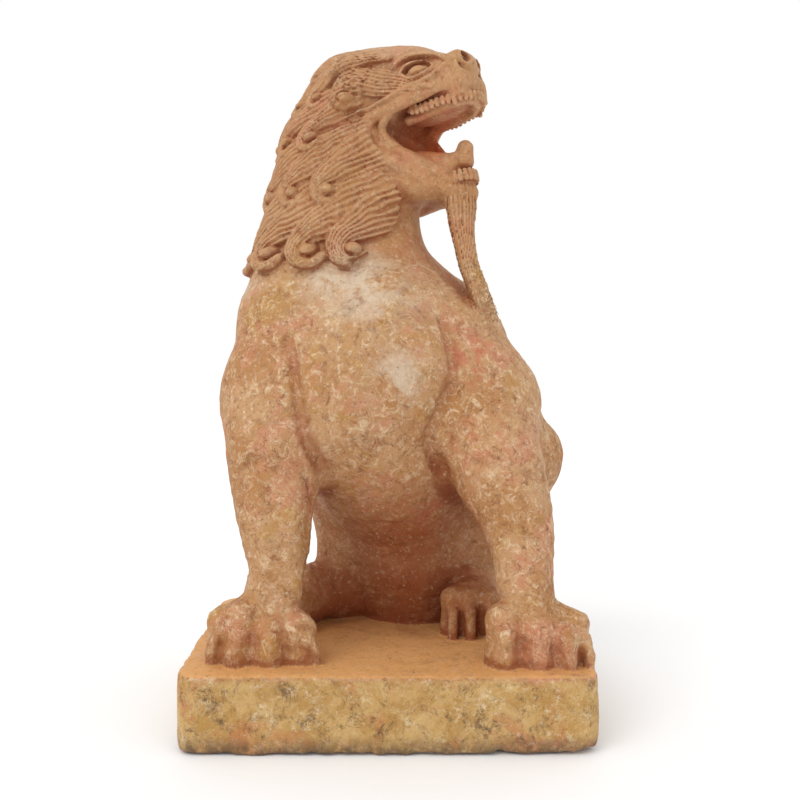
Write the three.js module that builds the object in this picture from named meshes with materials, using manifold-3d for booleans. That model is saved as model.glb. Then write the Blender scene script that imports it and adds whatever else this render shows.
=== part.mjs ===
// A seated lion carved from one block of marble together with its plinth.
// Millimetres, +Z up. The lion faces -Y, its head is turned to +X and raised, and its mouth is open.
// The origin is the centre of the plinth's underside.
import * as THREE from "three";
import { mergeVertices } from "three/addons/utils/BufferGeometryUtils.js";
import Module from "manifold-3d";

// Driving dimensions
const PLINTH = { width: 460, depth: 370, height: 85, corner: 26, backCorner: 45, edge: 5 };
const SETBACK = 50; // the lion is drawn with this much less Y than it stands at
const GROUND = PLINTH.height; // what the lion sits on
const SINK = 4; // how far the feet run down into the plinth
const CHEST = [-14, -62, 405];
const HIPS = [42, 34, 205];
const HEAD = { centre: [-12, -20, 748], turn: 35, lift: 12 }; // degrees from +X towards the viewer, and up
const CELL = 7; // grid that the lion's surface is sampled on
const TRIANGLES = 8900; // what the lion keeps after its flat stretches are thinned out
const FACE_CARE = { above: 610, weight: 5 }; // the head keeps more of them than the body

// Vectors as plain arrays
const add = (a, b) => [a[0] + b[0], a[1] + b[1], a[2] + b[2]];
const sub = (a, b) => [a[0] - b[0], a[1] - b[1], a[2] - b[2]];
const scale = (a, k) => [a[0] * k, a[1] * k, a[2] * k];
const dot = (a, b) => a[0] * b[0] + a[1] * b[1] + a[2] * b[2];
const cross = (a, b) => [
  a[1] * b[2] - a[2] * b[1],
  a[2] * b[0] - a[0] * b[2],
  a[0] * b[1] - a[1] * b[0],
];
const unit = (a) => scale(a, 1 / Math.hypot(...a));
const mix = (a, b, t) => a + (b - a) * t;
const mixed = (a, b, t) => a.map((value, i) => mix(value, b[i], t));
const radians = THREE.MathUtils.degToRad;
const WORLD = [
  [1, 0, 0],
  [0, 1, 0],
  [0, 0, 1],
];

// Frame of the head: forward along the muzzle, right towards the viewer, up through the crown
const headForward = [
  Math.cos(radians(HEAD.lift)) * Math.cos(radians(HEAD.turn)),
  -Math.cos(radians(HEAD.lift)) * Math.sin(radians(HEAD.turn)),
  Math.sin(radians(HEAD.lift)),
];
const headRight = unit(cross(headForward, [0, 0, 1]));
const headUp = cross(headRight, headForward);
const HEAD_AXES = [headForward, headRight, headUp];
const onHead = (forward, right, up) =>
  [forward, right, up].reduce((p, length, i) => add(p, scale(HEAD_AXES[i], length)), HEAD.centre);

// The box round a set of points, each with a margin
function boxRound(points, margins) {
  const low = [Infinity, Infinity, Infinity];
  const high = [-Infinity, -Infinity, -Infinity];
  points.forEach((p, i) => {
    for (let k = 0; k < 3; k++) {
      low[k] = Math.min(low[k], p[k] - margins[i]);
      high[k] = Math.max(high[k], p[k] + margins[i]);
    }
  });
  return { low, high };
}

// Distance to an ellipse or ellipsoid, from the offsets along its axes
function ovalDistance(offsets, radii) {
  let near = 0;
  let slope = 0;
  for (let k = 0; k < radii.length; k++) {
    const share = offsets[k] / radii[k];
    near += share * share;
    slope += (share / radii[k]) ** 2;
  }
  near = Math.sqrt(near);
  return slope > 0 ? (near * (near - 1)) / Math.sqrt(slope) : -Math.min(...radii);
}

// An ellipsoid
function ball(centre, radii, axes = WORLD) {
  return {
    box: boxRound([centre], [Math.max(...radii)]),
    distance(p) {
      const q = sub(p, centre);
      return ovalDistance([dot(q, axes[0]), dot(q, axes[1]), dot(q, axes[2])], radii);
    },
  };
}

// A box with rounded edges
function block(centre, halves, rounding, axes = WORLD) {
  return {
    box: boxRound([centre], [Math.hypot(...halves)]),
    distance(p) {
      const q = sub(p, centre);
      const out = halves.map((half, k) => Math.abs(dot(q, axes[k])) - half + rounding);
      const outside = Math.hypot(...out.map((value) => Math.max(value, 0)));
      return outside + Math.min(Math.max(...out), 0) - rounding;
    },
  };
}

// A slab with a drawn profile. The corners are [along axis 0, along axis 2] of the frame,
// and the slab reaches from one value to another along axis 1.
function slab(origin, corners, [from, to], axes = WORLD) {
  const reach = corners.flatMap(([a, c]) =>
    [from, to].map((b) => add(origin, axes.reduce((p, axis, i) => add(p, scale(axis, [a, b, c][i])), [0, 0, 0]))),
  );
  return {
    box: boxRound(reach, Array(reach.length).fill(0)),
    distance(p) {
      const q = sub(p, origin);
      const [a, b, c] = axes.map((axis) => dot(q, axis));
      let nearest = Infinity;
      let inside = false;
      corners.forEach(([a0, c0], i) => {
        const [a1, c1] = corners[(i + 1) % corners.length];
        const t = ((a - a0) * (a1 - a0) + (c - c0) * (c1 - c0)) / ((a1 - a0) ** 2 + (c1 - c0) ** 2);
        const k = Math.min(Math.max(t, 0), 1);
        nearest = Math.min(nearest, Math.hypot(a - mix(a0, a1, k), c - mix(c0, c1, k)));
        if (c0 > c !== c1 > c && a < a0 + ((c - c0) * (a1 - a0)) / (c1 - c0)) inside = !inside;
      });
      const profile = inside ? -nearest : nearest;
      const ends = Math.max(from - b, b - to);
      return Math.min(Math.max(profile, ends), 0) + Math.hypot(Math.max(profile, 0), Math.max(ends, 0));
    },
  };
}

// A Catmull-Rom curve through rows of numbers, with so many steps from one row to the next
function smoothPath(rows, steps) {
  const first = rows[0].map((value, n) => 2 * value - rows[1][n]);
  const last = rows.at(-1).map((value, n) => 2 * value - rows.at(-2)[n]);
  const padded = [first, ...rows, last];
  const path = [];
  for (let i = 1; i < rows.length; i++) {
    const [a, b, c, d] = padded.slice(i - 1, i + 3);
    for (let step = 0; step < steps; step++) {
      const t = step / steps;
      const bend = (n) => a[n] - 2.5 * b[n] + 2 * c[n] - d[n] / 2;
      const turn = (n) => 1.5 * (b[n] - c[n]) + (d[n] - a[n]) / 2;
      path.push(b.map((value, n) => value + ((c[n] - a[n]) * t) / 2 + bend(n) * t * t + turn(n) * t * t * t));
    }
  }
  return [...path, rows.at(-1)];
}

// A chain of tapered bones. Each joint is [x, y, z, radius].
function limb(...joints) {
  const bones = joints.slice(1).map((end, i) => {
    const start = joints[i];
    const along = sub(end, start);
    return { start, end, along, length2: dot(along, along) };
  });
  return {
    box: boxRound(
      joints,
      joints.map((joint) => joint[3]),
    ),
    distance(p) {
      let best = Infinity;
      for (const { start, end, along, length2 } of bones) {
        const q = sub(p, start);
        const t = Math.min(Math.max(dot(q, along) / length2, 0), 1);
        const d = Math.hypot(q[0] - along[0] * t, q[1] - along[1] * t, q[2] - along[2] * t);
        best = Math.min(best, d - mix(start[3], end[3], t));
      }
      return best;
    },
  };
}

// A flattened strip that follows a path. Each station is { at, half (width), thick (half), face (normal) }.
function strip(stations) {
  const pieces = stations.slice(1).map((end, i) => {
    const start = stations[i];
    const along = sub(end.at, start.at);
    return { start, end, along, length2: dot(along, along), forward: unit(along) };
  });
  return {
    box: boxRound(
      stations.map((station) => station.at),
      stations.map((station) => Math.max(station.half, station.thick)),
    ),
    distance(p) {
      let best = Infinity;
      for (const { start, end, along, length2, forward } of pieces) {
        const t = Math.min(Math.max(dot(sub(p, start.at), along) / length2, 0), 1);
        const q = sub(p, add(start.at, scale(along, t)));
        const side = unit(cross(forward, mixed(start.face, end.face, t)));
        const face = cross(side, forward);
        const half = mix(start.half, end.half, t);
        const thick = mix(start.thick, end.thick, t);
        const offsets = [dot(q, side), dot(q, face), dot(q, forward)];
        best = Math.min(best, ovalDistance(offsets, [half, thick, Math.min(half, thick)]));
      }
      return best;
    },
  };
}

// Clay that is added and stone that is cut away, one shape after another, each with a soft seam
class Sculpture {
  steps = [];
  add(shape, seam = 12) {
    this.steps.push({ shape, seam, sign: 1, ...this.reach(shape, seam) });
    return this;
  }
  carve(shape, seam = 4) {
    this.steps.push({ shape, seam, sign: -1, ...this.reach(shape, seam) });
    return this;
  }
  reach(shape, seam) {
    const margin = seam + 4 * CELL;
    return {
      low: shape.box.low.map((value) => value - margin),
      high: shape.box.high.map((value) => value + margin),
    };
  }
  distance(p) {
    let d = FAR;
    for (const { shape, seam, sign, low, high } of this.steps) {
      if (p[0] < low[0] || p[1] < low[1] || p[2] < low[2]) continue;
      if (p[0] > high[0] || p[1] > high[1] || p[2] > high[2]) continue;
      const other = sign * shape.distance(p);
      const overlap = Math.max(seam - Math.abs(d - other), 0) / seam;
      if (sign > 0) d = Math.min(d, other) - (overlap * overlap * seam) / 4;
      else d = Math.max(d, other) + (overlap * overlap * seam) / 4;
    }
    return d;
  }
}
const FAR = 60;

// Where a ray from inside the sculpture leaves it
function surfaceAlong(sculpture, from, direction, furthest = 220) {
  let inside = 0;
  let outside = furthest;
  for (let i = 0; i < 24; i++) {
    const middle = (inside + outside) / 2;
    if (sculpture.distance(add(from, scale(direction, middle))) < 0) inside = middle;
    else outside = middle;
  }
  return add(from, scale(direction, inside));
}

// The direction straight out of the surface
function slopeAt(sculpture, p, step = 4) {
  const rise = WORLD.map(
    (axis) => sculpture.distance(add(p, scale(axis, step))) - sculpture.distance(add(p, scale(axis, -step))),
  );
  return unit(rise);
}

// The chest, the shoulders, the barrel of the body and the hips, which sit to the lion's left
function torso(lion) {
  lion.add(ball(CHEST, [144, 118, 150]));
  lion.add(ball([-38, -42, 482], [138, 98, 106]), 24);
  lion.add(ball([-22, -100, 392], [105, 82, 108]), 40);
  lion.add(limb([...CHEST, 112], [...mixed(CHEST, HIPS, 0.55), 112], [...HIPS, 85]), 50);
  lion.add(ball([52, 44, 168], [122, 84, 92]), 40);
  lion.add(limb([0, -60, 330, 80], [32, -10, 230, 66], [36, 40, GROUND + 10, 62]), 40);
}

// The upper arms and the forelegs down to the wrists
const RIGHT_FORELEG = [
  [-131, -98, 400, 60],
  [-130, -128, 330, 59],
  [-129, -137, 292, 54],
  [-130, -147, 249, 45],
  [-126, -155, 205, 37],
  [-127, -158, 178, 32],
  [-133, -160, 140, 32],
];
const LEFT_FORELEG = [
  [104, -100, 392, 58],
  [126, -134, 308, 56],
  [142, -148, 263, 47],
  [155, -158, 219, 37],
  [158, -166, 176, 31],
  [160, -170, 140, 32],
];
function forelegs(lion) {
  lion.add(ball([-113, -56, 446], [71, 78, 84]), 34);
  lion.add(ball([83, -62, 422], [74, 76, 94]), 30);
  lion.add(ball([-149, -78, 370], [52, 62, 70]), 24);
  lion.add(ball([138, -80, 368], [54, 62, 70]), 24);
  lion.add(limb(...smoothPath(RIGHT_FORELEG, 2)), 22);
  lion.add(limb(...smoothPath(LEFT_FORELEG, 2)), 22);
}

// Each toe: the middle of its knuckle, its radius, and where its claw stands on the plinth
const RIGHT_PAW = [
  [[-186, -176, 128], 17, [-196, -197]],
  [[-164, -184, 132], 22, [-168, -207]],
  [[-131, -188, 124], 20, [-128, -207]],
  [[-100, -180, 119], 21, [-80, -197]],
];
const LEFT_PAW = [
  [[130, -190, 132], 22, [129, -214]],
  [[164, -196, 124], 20, [167, -215]],
  [[195, -194, 115], 18, [200, -217]],
  [[213, -176, 126], 15, [222, -206]],
];
const LEFT_HIND_PAW = [
  [[84, -70, 128], 15, [83, -98]],
  [[104, -74, 126], 16, [104, -102]],
  [[128, -72, 124], 15, [130, -98]],
  [[148, -62, 120], 13, [152, -84]],
];
const RIGHT_HIND_PAW = [
  [[-112, -58, 118], 15, [-108, -80]],
  [[-130, -52, 120], 15, [-134, -72]],
  [[-146, -40, 118], 14, [-156, -56]],
];

// A paw: a pad under the wrist, and toes that run out to their knuckles and down to their claws
function paw(lion, wrist, toes) {
  const reach = Math.abs(toes[0][0][0] - toes.at(-1)[0][0]) / 2;
  lion.add(ball([wrist[0], wrist[1] + 4, GROUND + 26], [reach, 38, 40]), 14);
  for (const [knuckle, radius, claw] of toes) {
    const middle = mixed(knuckle, [...claw, GROUND], 0.55);
    lion.add(limb([...mixed(wrist, knuckle, 0.3), radius * 0.7], [...knuckle, radius]), 7);
    lion.add(
      limb([...knuckle, radius * 0.8], [knuckle[0], knuckle[1] + 3, GROUND + SINK, radius * 0.92]),
      6,
    );
    lion.add(
      limb(
        [middle[0], middle[1] - radius * 0.25, GROUND + 30, 7],
        [claw[0], claw[1] + 5, GROUND + 12, 5.5],
        [claw[0], claw[1] + 5, GROUND - SINK, 5],
      ),
      8,
    );
  }
}

// The folded hind legs: thigh, shin and foot, and the edge where the belly meets the thigh
function hindLegs(lion) {
  lion.add(limb([174, -42, 306, 52], [118, 36, 226, 82]), 30);
  lion.add(limb([168, -40, 290, 46], [138, 12, 190, 42], [120, 6, 118, 34]), 22);
  lion.add(limb([-76, 6, 292, 38], [14, 50, 238, 70]), 26);
  lion.add(limb([-74, 2, 290, 37], [-57, 14, 200, 33], [-56, 22, 118, 34]), 18);
  lion.add(limb([-30, 46, 112, 30], [-86, -4, 122, 34], [-116, -30, 114, 28]), 18);
  lion.add(limb([-62, -70, 330, 9], [-40, -48, 290, 9], [-22, -22, 240, 9], [-16, 4, 180, 9], [-18, 10, 120, 9]), 14);
}

// The tail, laid up over the rump in a loose S
function tail(lion) {
  const joints = [
    [36, 108, 98, 18],
    [84, 116, 124, 16],
    [98, 104, 172, 15],
    [66, 114, 218, 17],
    [38, 106, 256, 19],
    [52, 98, 304, 11],
  ];
  lion.add(limb(...smoothPath(joints, 2)), 5);
}

// The neck, leaning back under the head, with the throat to the front
const CROWN = 760; // above this height the mane is laid out by angle over the top of the head
const neckAxis = (z) => {
  const joints = [[-60, -15, 500], [-60, -15, 560], [-57, -12, 613], [-52, -10, 690], [-16, -18, CROWN]];
  const level = Math.min(Math.max(z, 500), CROWN);
  const next = Math.max(1, joints.findIndex((joint) => joint[2] >= level));
  const [low, high] = [joints[next - 1], joints[next]];
  return mixed(low, high, (level - low[2]) / (high[2] - low[2]));
};
function neck(lion) {
  lion.add(
    limb([...neckAxis(536), 104], [...neckAxis(612), 92], [...neckAxis(690), 79], [...HEAD.centre, 71]),
    30,
  );
  lion.add(limb([-2, -52, 648, 46], [0, -48, 600, 44], [0, -56, 556, 44]), 24);
}

const oval = (forward, right, up, radii, axes = HEAD_AXES) => ball(onHead(forward, right, up), radii, axes);
const bone = (...joints) => limb(...joints.map(([f, r, u, radius]) => [...onHead(f, r, u), radius]));

// Along each band of the face: forward, right and up in the head's frame, half the width, relief
const CHEEK_LOCK = [
  [106, 45, -19, 4, 5],
  [90, 52, -12, 9, 7],
  [70, 60, -8, 14, 8],
  [50, 66, 2, 17, 9],
  [32, 72, 13, 14, 9],
  [14, 79, 16, 12, 9],
  [4, 83, 4, 10, 9],
  [8, 82, -12, 8, 9],
  [20, 78, -22, 6, 8],
];
const EAR = [
  [66, 54, 29, 6, 8],
  [52, 60, 36, 10, 10],
  [34, 66, 37, 12, 11],
  [16, 68, 34, 11, 10],
  [2, 72, 24, 7, 8],
];
const LIP = [
  [124, 36, -22, 9, 4],
  [110, 43, -22, 11, 7],
  [92, 48, -24, 12, 8],
  [66, 54, -27, 12, 8],
  [44, 62, -33, 10, 9],
  [27, 69, -45, 9, 9],
  [24, 68, -67, 9, 9],
  [35, 60, -88, 9, 9],
  [59, 49, -110, 8, 9],
  [75, 36, -129, 8, 8],
  [93, 25, -142, 8, 7],
  [108, 13, -146, 7, 7],
  [114, 0, -147, 7, 7],
];

// A flat band over one side of the face
function band(lion, stations, side) {
  const rows = smoothPath(stations, 2);
  const along = rows.map(([f, r, u, half, thick]) => {
    const at = onHead(f, r * side, u);
    return { at, half, thick, face: sub(at, onHead(40, 0, -30)) };
  });
  lion.add(strip(along), 3);
}

// The skull, the face and the open mouth
function head(lion) {
  lion.add(oval(0, 0, 2, [85, 78, 71]), 20);
  lion.add(oval(58, 0, 12, [58, 54, 44]), 24);
  lion.add(oval(100, 0, -8, [46, 44, 32]), 16);
  // The upper jaw, the lower jaw and the cheeks, with the mouth cut in between
  const jaw = [[30, 16], [124, 17], [141, 6], [144, -42], [60, -32], [30, -40]];
  lion.add(slab(HEAD.centre, jaw, [-33, 33], HEAD_AXES), 14);
  lion.add(bone([12, 0, -52, 60], [52, 0, -96, 42], [84, 0, -116, 28], [102, 0, -134, 17]), 18);
  for (const side of [1, -1]) {
    const r = (value) => value * side;
    lion.add(bone([26, r(40), -30, 22], [70, r(34), -4, 18], [112, r(26), -10, 16]), 14);
    lion.add(bone([4, r(38), -60, 36], [30, r(30), -92, 30], [62, r(24), -112, 22]), 20);
    lion.add(bone([14, r(44), -116, 24], [52, r(36), -125, 18], [84, r(20), -138, 12]), 14);
    lion.add(bone([26, r(40), -36, 22], [34, r(38), -66, 22], [60, r(33), -96, 17], [90, r(20), -124, 13]), 14);
  }
  const opening = [
    [38, -46],
    [62, -33],
    [92, -37],
    [170, -46],
    [176, -128],
    [126, -128],
    [104, -120],
    [84, -103],
    [54, -76],
  ];
  lion.carve(slab(HEAD.centre, opening, [-26, 80], HEAD_AXES), 8);
  lion.carve(slab(HEAD.centre, opening.map(([f, u]) => [Math.max(f, 90), u]), [-80, -20], HEAD_AXES), 8);
  lion.carve(oval(50, 6, -62, [26, 34, 20]), 8);
  // The tongue and the nose
  lion.add(bone([34, 4, -92, 24], [88, 0, -110, 21], [110, 0, -107, 14], [117, 0, -93, 10]), 6);
  lion.add(oval(136, 0, 8, [15, 22, 14]), 8);
  for (const side of [1, -1]) {
    const r = (value) => value * side;
    lion.add(oval(126, r(20), -18, [21, 17, 17]), 8);
    band(lion, LIP, side);
    // Brow, eye, cheekbone and nostril
    lion.add(bone([74, r(56), 11, 4], [90, r(51), 18, 5], [108, r(41), 21, 6], [126, r(25), 17, 7]), 7);
    lion.carve(oval(96, r(50), 4, [23, 8, 9]), 3);
    lion.add(oval(94, r(45), 3, [14, 9, 8]), 1);
    lion.add(bone([76, r(55), -4, 4], [94, r(50), -7, 5], [112, r(40), -2, 5], [128, r(26), 4, 6]), 3);
    lion.carve(oval(145, r(14), 7, [9, 8, 6]), 3);
    band(lion, EAR, side);
    band(lion, CHEEK_LOCK, side);
    lion.add(ball(onHead(22, r(82), -14), [8, 8, 8]), 1);
    // The rows of teeth, and the rim of the palate behind the upper ones
    lion.add(bone([74, r(42), -37, 5], [110, r(38), -40, 5], [129, r(32), -42, 5], [143, r(18), -41, 5], [149, 0, -41, 5]), 2);
    lion.add(bone([129, r(32), -42, 5], [129, r(31), -51, 4]), 2);
    lion.add(bone([64, r(30), -44, 7], [100, r(28), -45, 7], [124, r(24), -46, 7], [142, 0, -45, 7]), 3);
    lion.add(bone([98, r(26), -133, 5], [110, r(20), -134, 5], [120, 0, -134, 5]), 2);
  }
  lion.add(oval(98, 0, -38, [48, 30, 10]), 6);
}

// The beard, which runs down from the chin and joins the chest
function beard(lion) {
  const face = [0.35, -0.94, 0];
  const station = (x, y, z, half, thick) => ({ at: [x, y, z], half, thick, face });
  lion.add(
    strip([
      station(90, -98, 628, 22, 15),
      station(92, -102, 609, 21, 14),
      station(92, -105, 586, 17, 13),
      station(95, -109, 563, 14, 12),
      station(99, -113, 540, 13, 12),
      station(106, -117, 517, 13, 12),
      station(115, -117, 494, 14, 11),
      station(122, -110, 472, 18, 6),
    ]),
    7,
  );
}

// A lock in the plane of the skin: how far back and how far up each station lies from the curl's middle,
// half the width, and the relief
const LOCK = [
  [-70, 62, 30, 3],
  [-48, 55, 30, 5],
  [-25, 44, 26, 8],
  [-5, 29, 20, 10],
  [8, 14, 13, 11],
  [11, 0, 9.5, 11],
  [6, -11, 7.5, 11],
  [-5, -13, 6.5, 10],
  [-13, -5, 5.5, 9],
];
// Height and size of each row of curls, and where they stand, in degrees back from the face
const MANE = [
  { z: 784, size: 0.6, turns: [118, 152] },
  { z: 750, size: 0.75, turns: [100, 127, 156] },
  { z: 699, size: 0.9, turns: [86, 113, 140, 168] },
  { z: 630, size: 1, turns: [64, 91, 119, 147, 175] },
  { z: 556, size: 1.15, turns: [46, 72, 101, 129, 157] },
];
// Where the mane begins: height, and degrees back from the face
const HAIRLINE = [
  [539, 45],
  [552, 34],
  [568, 23],
  [584, 15],
  [602, 10],
  [620, 14],
  [640, 20],
  [653, 23],
  [677, 28],
  [708, 40],
  [725, 48],
  [CROWN, 62],
];
const HAIR_RADIUS = 92; // of the neck, for turning lengths round it into angles
const FAR_HAIRLINE = 50; // degrees that the far side's mane stays further back
const FAR_SPREAD = 0.85; // of the near side's distances between locks

function hairline(z) {
  const level = Math.min(Math.max(z, HAIRLINE[0][0]), CROWN);
  const next = Math.max(1, HAIRLINE.findIndex((row) => row[0] >= level));
  const [low, high] = [HAIRLINE[next - 1], HAIRLINE[next]];
  return mix(low[1], high[1], (level - low[0]) / (high[0] - low[0]));
}

// One lock, on the viewer's side for hand 1 and on the far side for hand -1, which sweeps round and down
// the neck and ends in a curl
function lock(lion, { z, size, turn, hand }) {
  const spot = (back, rise) => {
    const level = z + rise;
    const edge = rise > 0 ? hairline(level) + (hand > 0 ? 0 : FAR_HAIRLINE) : 0;
    const degrees = Math.max(turn + THREE.MathUtils.radToDeg(back / HAIR_RADIUS), edge);
    const angle = radians(-HEAD.turn - hand * degrees);
    const tilt = Math.max(0, level - CROWN) / 80;
    const direction = [Math.cos(tilt) * Math.cos(angle), Math.cos(tilt) * Math.sin(angle), Math.sin(tilt)];
    return surfaceAlong(lion, neckAxis(level), direction);
  };
  const stations = smoothPath(LOCK, 2).map(([back, rise, half, thick]) => {
    const at = spot(back * size, rise * size);
    return { at, half: half * size, thick: thick * size, face: slopeAt(lion, at) };
  });
  const centre = spot(0, 0);
  const knob = add(centre, scale(slopeAt(lion, centre), 5));
  return [strip(stations), ball(knob, [8.5 * size, 8.5 * size, 8.5 * size])];
}

function mane(lion) {
  const locks = MANE.flatMap(({ turns, ...row }) =>
    turns.flatMap((turn) => [
      ...lock(lion, { ...row, turn, hand: 1 }),
      ...lock(lion, { ...row, turn: 180 - (180 - turn) * FAR_SPREAD, hand: -1 }),
    ]),
  );
  for (const shape of locks) lion.add(shape, 2);
}

const lion = new Sculpture();
torso(lion);
forelegs(lion);
paw(lion, [-137, -156, 150], RIGHT_PAW);
paw(lion, [166, -162, 150], LEFT_PAW);
paw(lion, [118, -30, 138], LEFT_HIND_PAW);
paw(lion, [-104, -14, 126], RIGHT_HIND_PAW);
hindLegs(lion);
tail(lion);
neck(lion);
head(lion);
mane(lion);
beard(lion);
// Nothing of the lion reaches further down into the plinth than this
lion.carve(block([0, 0, GROUND - 62], [300, 300, 50], 0), 1);

// The six tetrahedra of a grid cube, as corners numbered x + 2y + 4z, all round the cube's long diagonal
const TETRAHEDRA = [
  [0, 1, 3, 7],
  [0, 3, 2, 7],
  [0, 2, 6, 7],
  [0, 6, 4, 7],
  [0, 4, 5, 7],
  [0, 5, 1, 7],
];

// The sculpture's surface as a closed triangle mesh, by marching tetrahedra
function polygonize(sculpture, lines) {
  const count = lines.map((line) => line.length);
  const index = (i, j, k) => i + count[0] * (j + count[1] * k);
  const place = (n) => {
    const i = n % count[0];
    const j = Math.floor(n / count[0]) % count[1];
    const k = Math.floor(n / (count[0] * count[1]));
    return [lines[0][i], lines[1][j], lines[2][k]];
  };
  const field = new Float64Array(count[0] * count[1] * count[2]);
  // Blocks of 4 x 4 x 4 grid points that lie far from the surface take one value
  for (let k = 0; k < count[2]; k += 4)
    for (let j = 0; j < count[1]; j += 4)
      for (let i = 0; i < count[0]; i += 4) {
        const middle = [i, j, k].map((n, axis) => lines[axis][Math.min(n + 2, count[axis] - 1)]);
        const far = sculpture.distance(middle);
        for (let c = k; c < Math.min(k + 4, count[2]); c++)
          for (let b = j; b < Math.min(j + 4, count[1]); b++)
            for (let a = i; a < Math.min(i + 4, count[0]); a++) {
              const n = index(a, b, c);
              field[n] = Math.abs(far) > 4 * CELL ? far : sculpture.distance(place(n)) || 1e-6;
            }
      }

  const positions = [];
  const triangles = [];
  const known = new Map();
  const crossing = (a, b) => {
    const key = Math.min(a, b) * field.length + Math.max(a, b);
    if (!known.has(key)) {
      const t = Math.min(Math.max(field[a] / (field[a] - field[b]), 0.04), 0.96);
      known.set(key, positions.length);
      positions.push(mixed(place(a), place(b), t));
    }
    return known.get(key);
  };
  const corner = [0, 1, 2, 3, 4, 5, 6, 7].map((c) => index(c & 1, (c >> 1) & 1, c >> 2));
  for (let k = 0; k < count[2] - 1; k++)
    for (let j = 0; j < count[1] - 1; j++)
      for (let i = 0; i < count[0] - 1; i++) {
        const base = index(i, j, k);
        let negative = 0;
        for (const offset of corner) if (field[base + offset] < 0) negative++;
        if (negative === 0 || negative === 8) continue;
        for (const tetrahedron of TETRAHEDRA) {
          const nodes = tetrahedron.map((c) => base + corner[c]);
          const inside = nodes.filter((n) => field[n] < 0);
          const outside = nodes.filter((n) => field[n] >= 0);
          if (!inside.length || !outside.length) continue;
          // A swapped pair of corners turns the tetrahedron over, so its faces are turned back
          const order = [...inside, ...outside].map((n) => nodes.indexOf(n));
          let swaps = 0;
          for (let a = 0; a < 4; a++) for (let b = a + 1; b < 4; b++) if (order[a] > order[b]) swaps++;
          const face = (a, b, c) => triangles.push(swaps % 2 ? [a, c, b] : [a, b, c]);
          if (inside.length === 1) {
            face(...outside.map((n) => crossing(inside[0], n)));
          } else if (inside.length === 3) {
            face(...inside.map((n) => crossing(n, outside[0])));
          } else {
            const [a, b] = inside;
            const [c, d] = outside;
            face(crossing(a, c), crossing(a, d), crossing(b, c));
            face(crossing(b, c), crossing(a, d), crossing(b, d));
          }
        }
      }
  return { positions, triangles };
}

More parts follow.
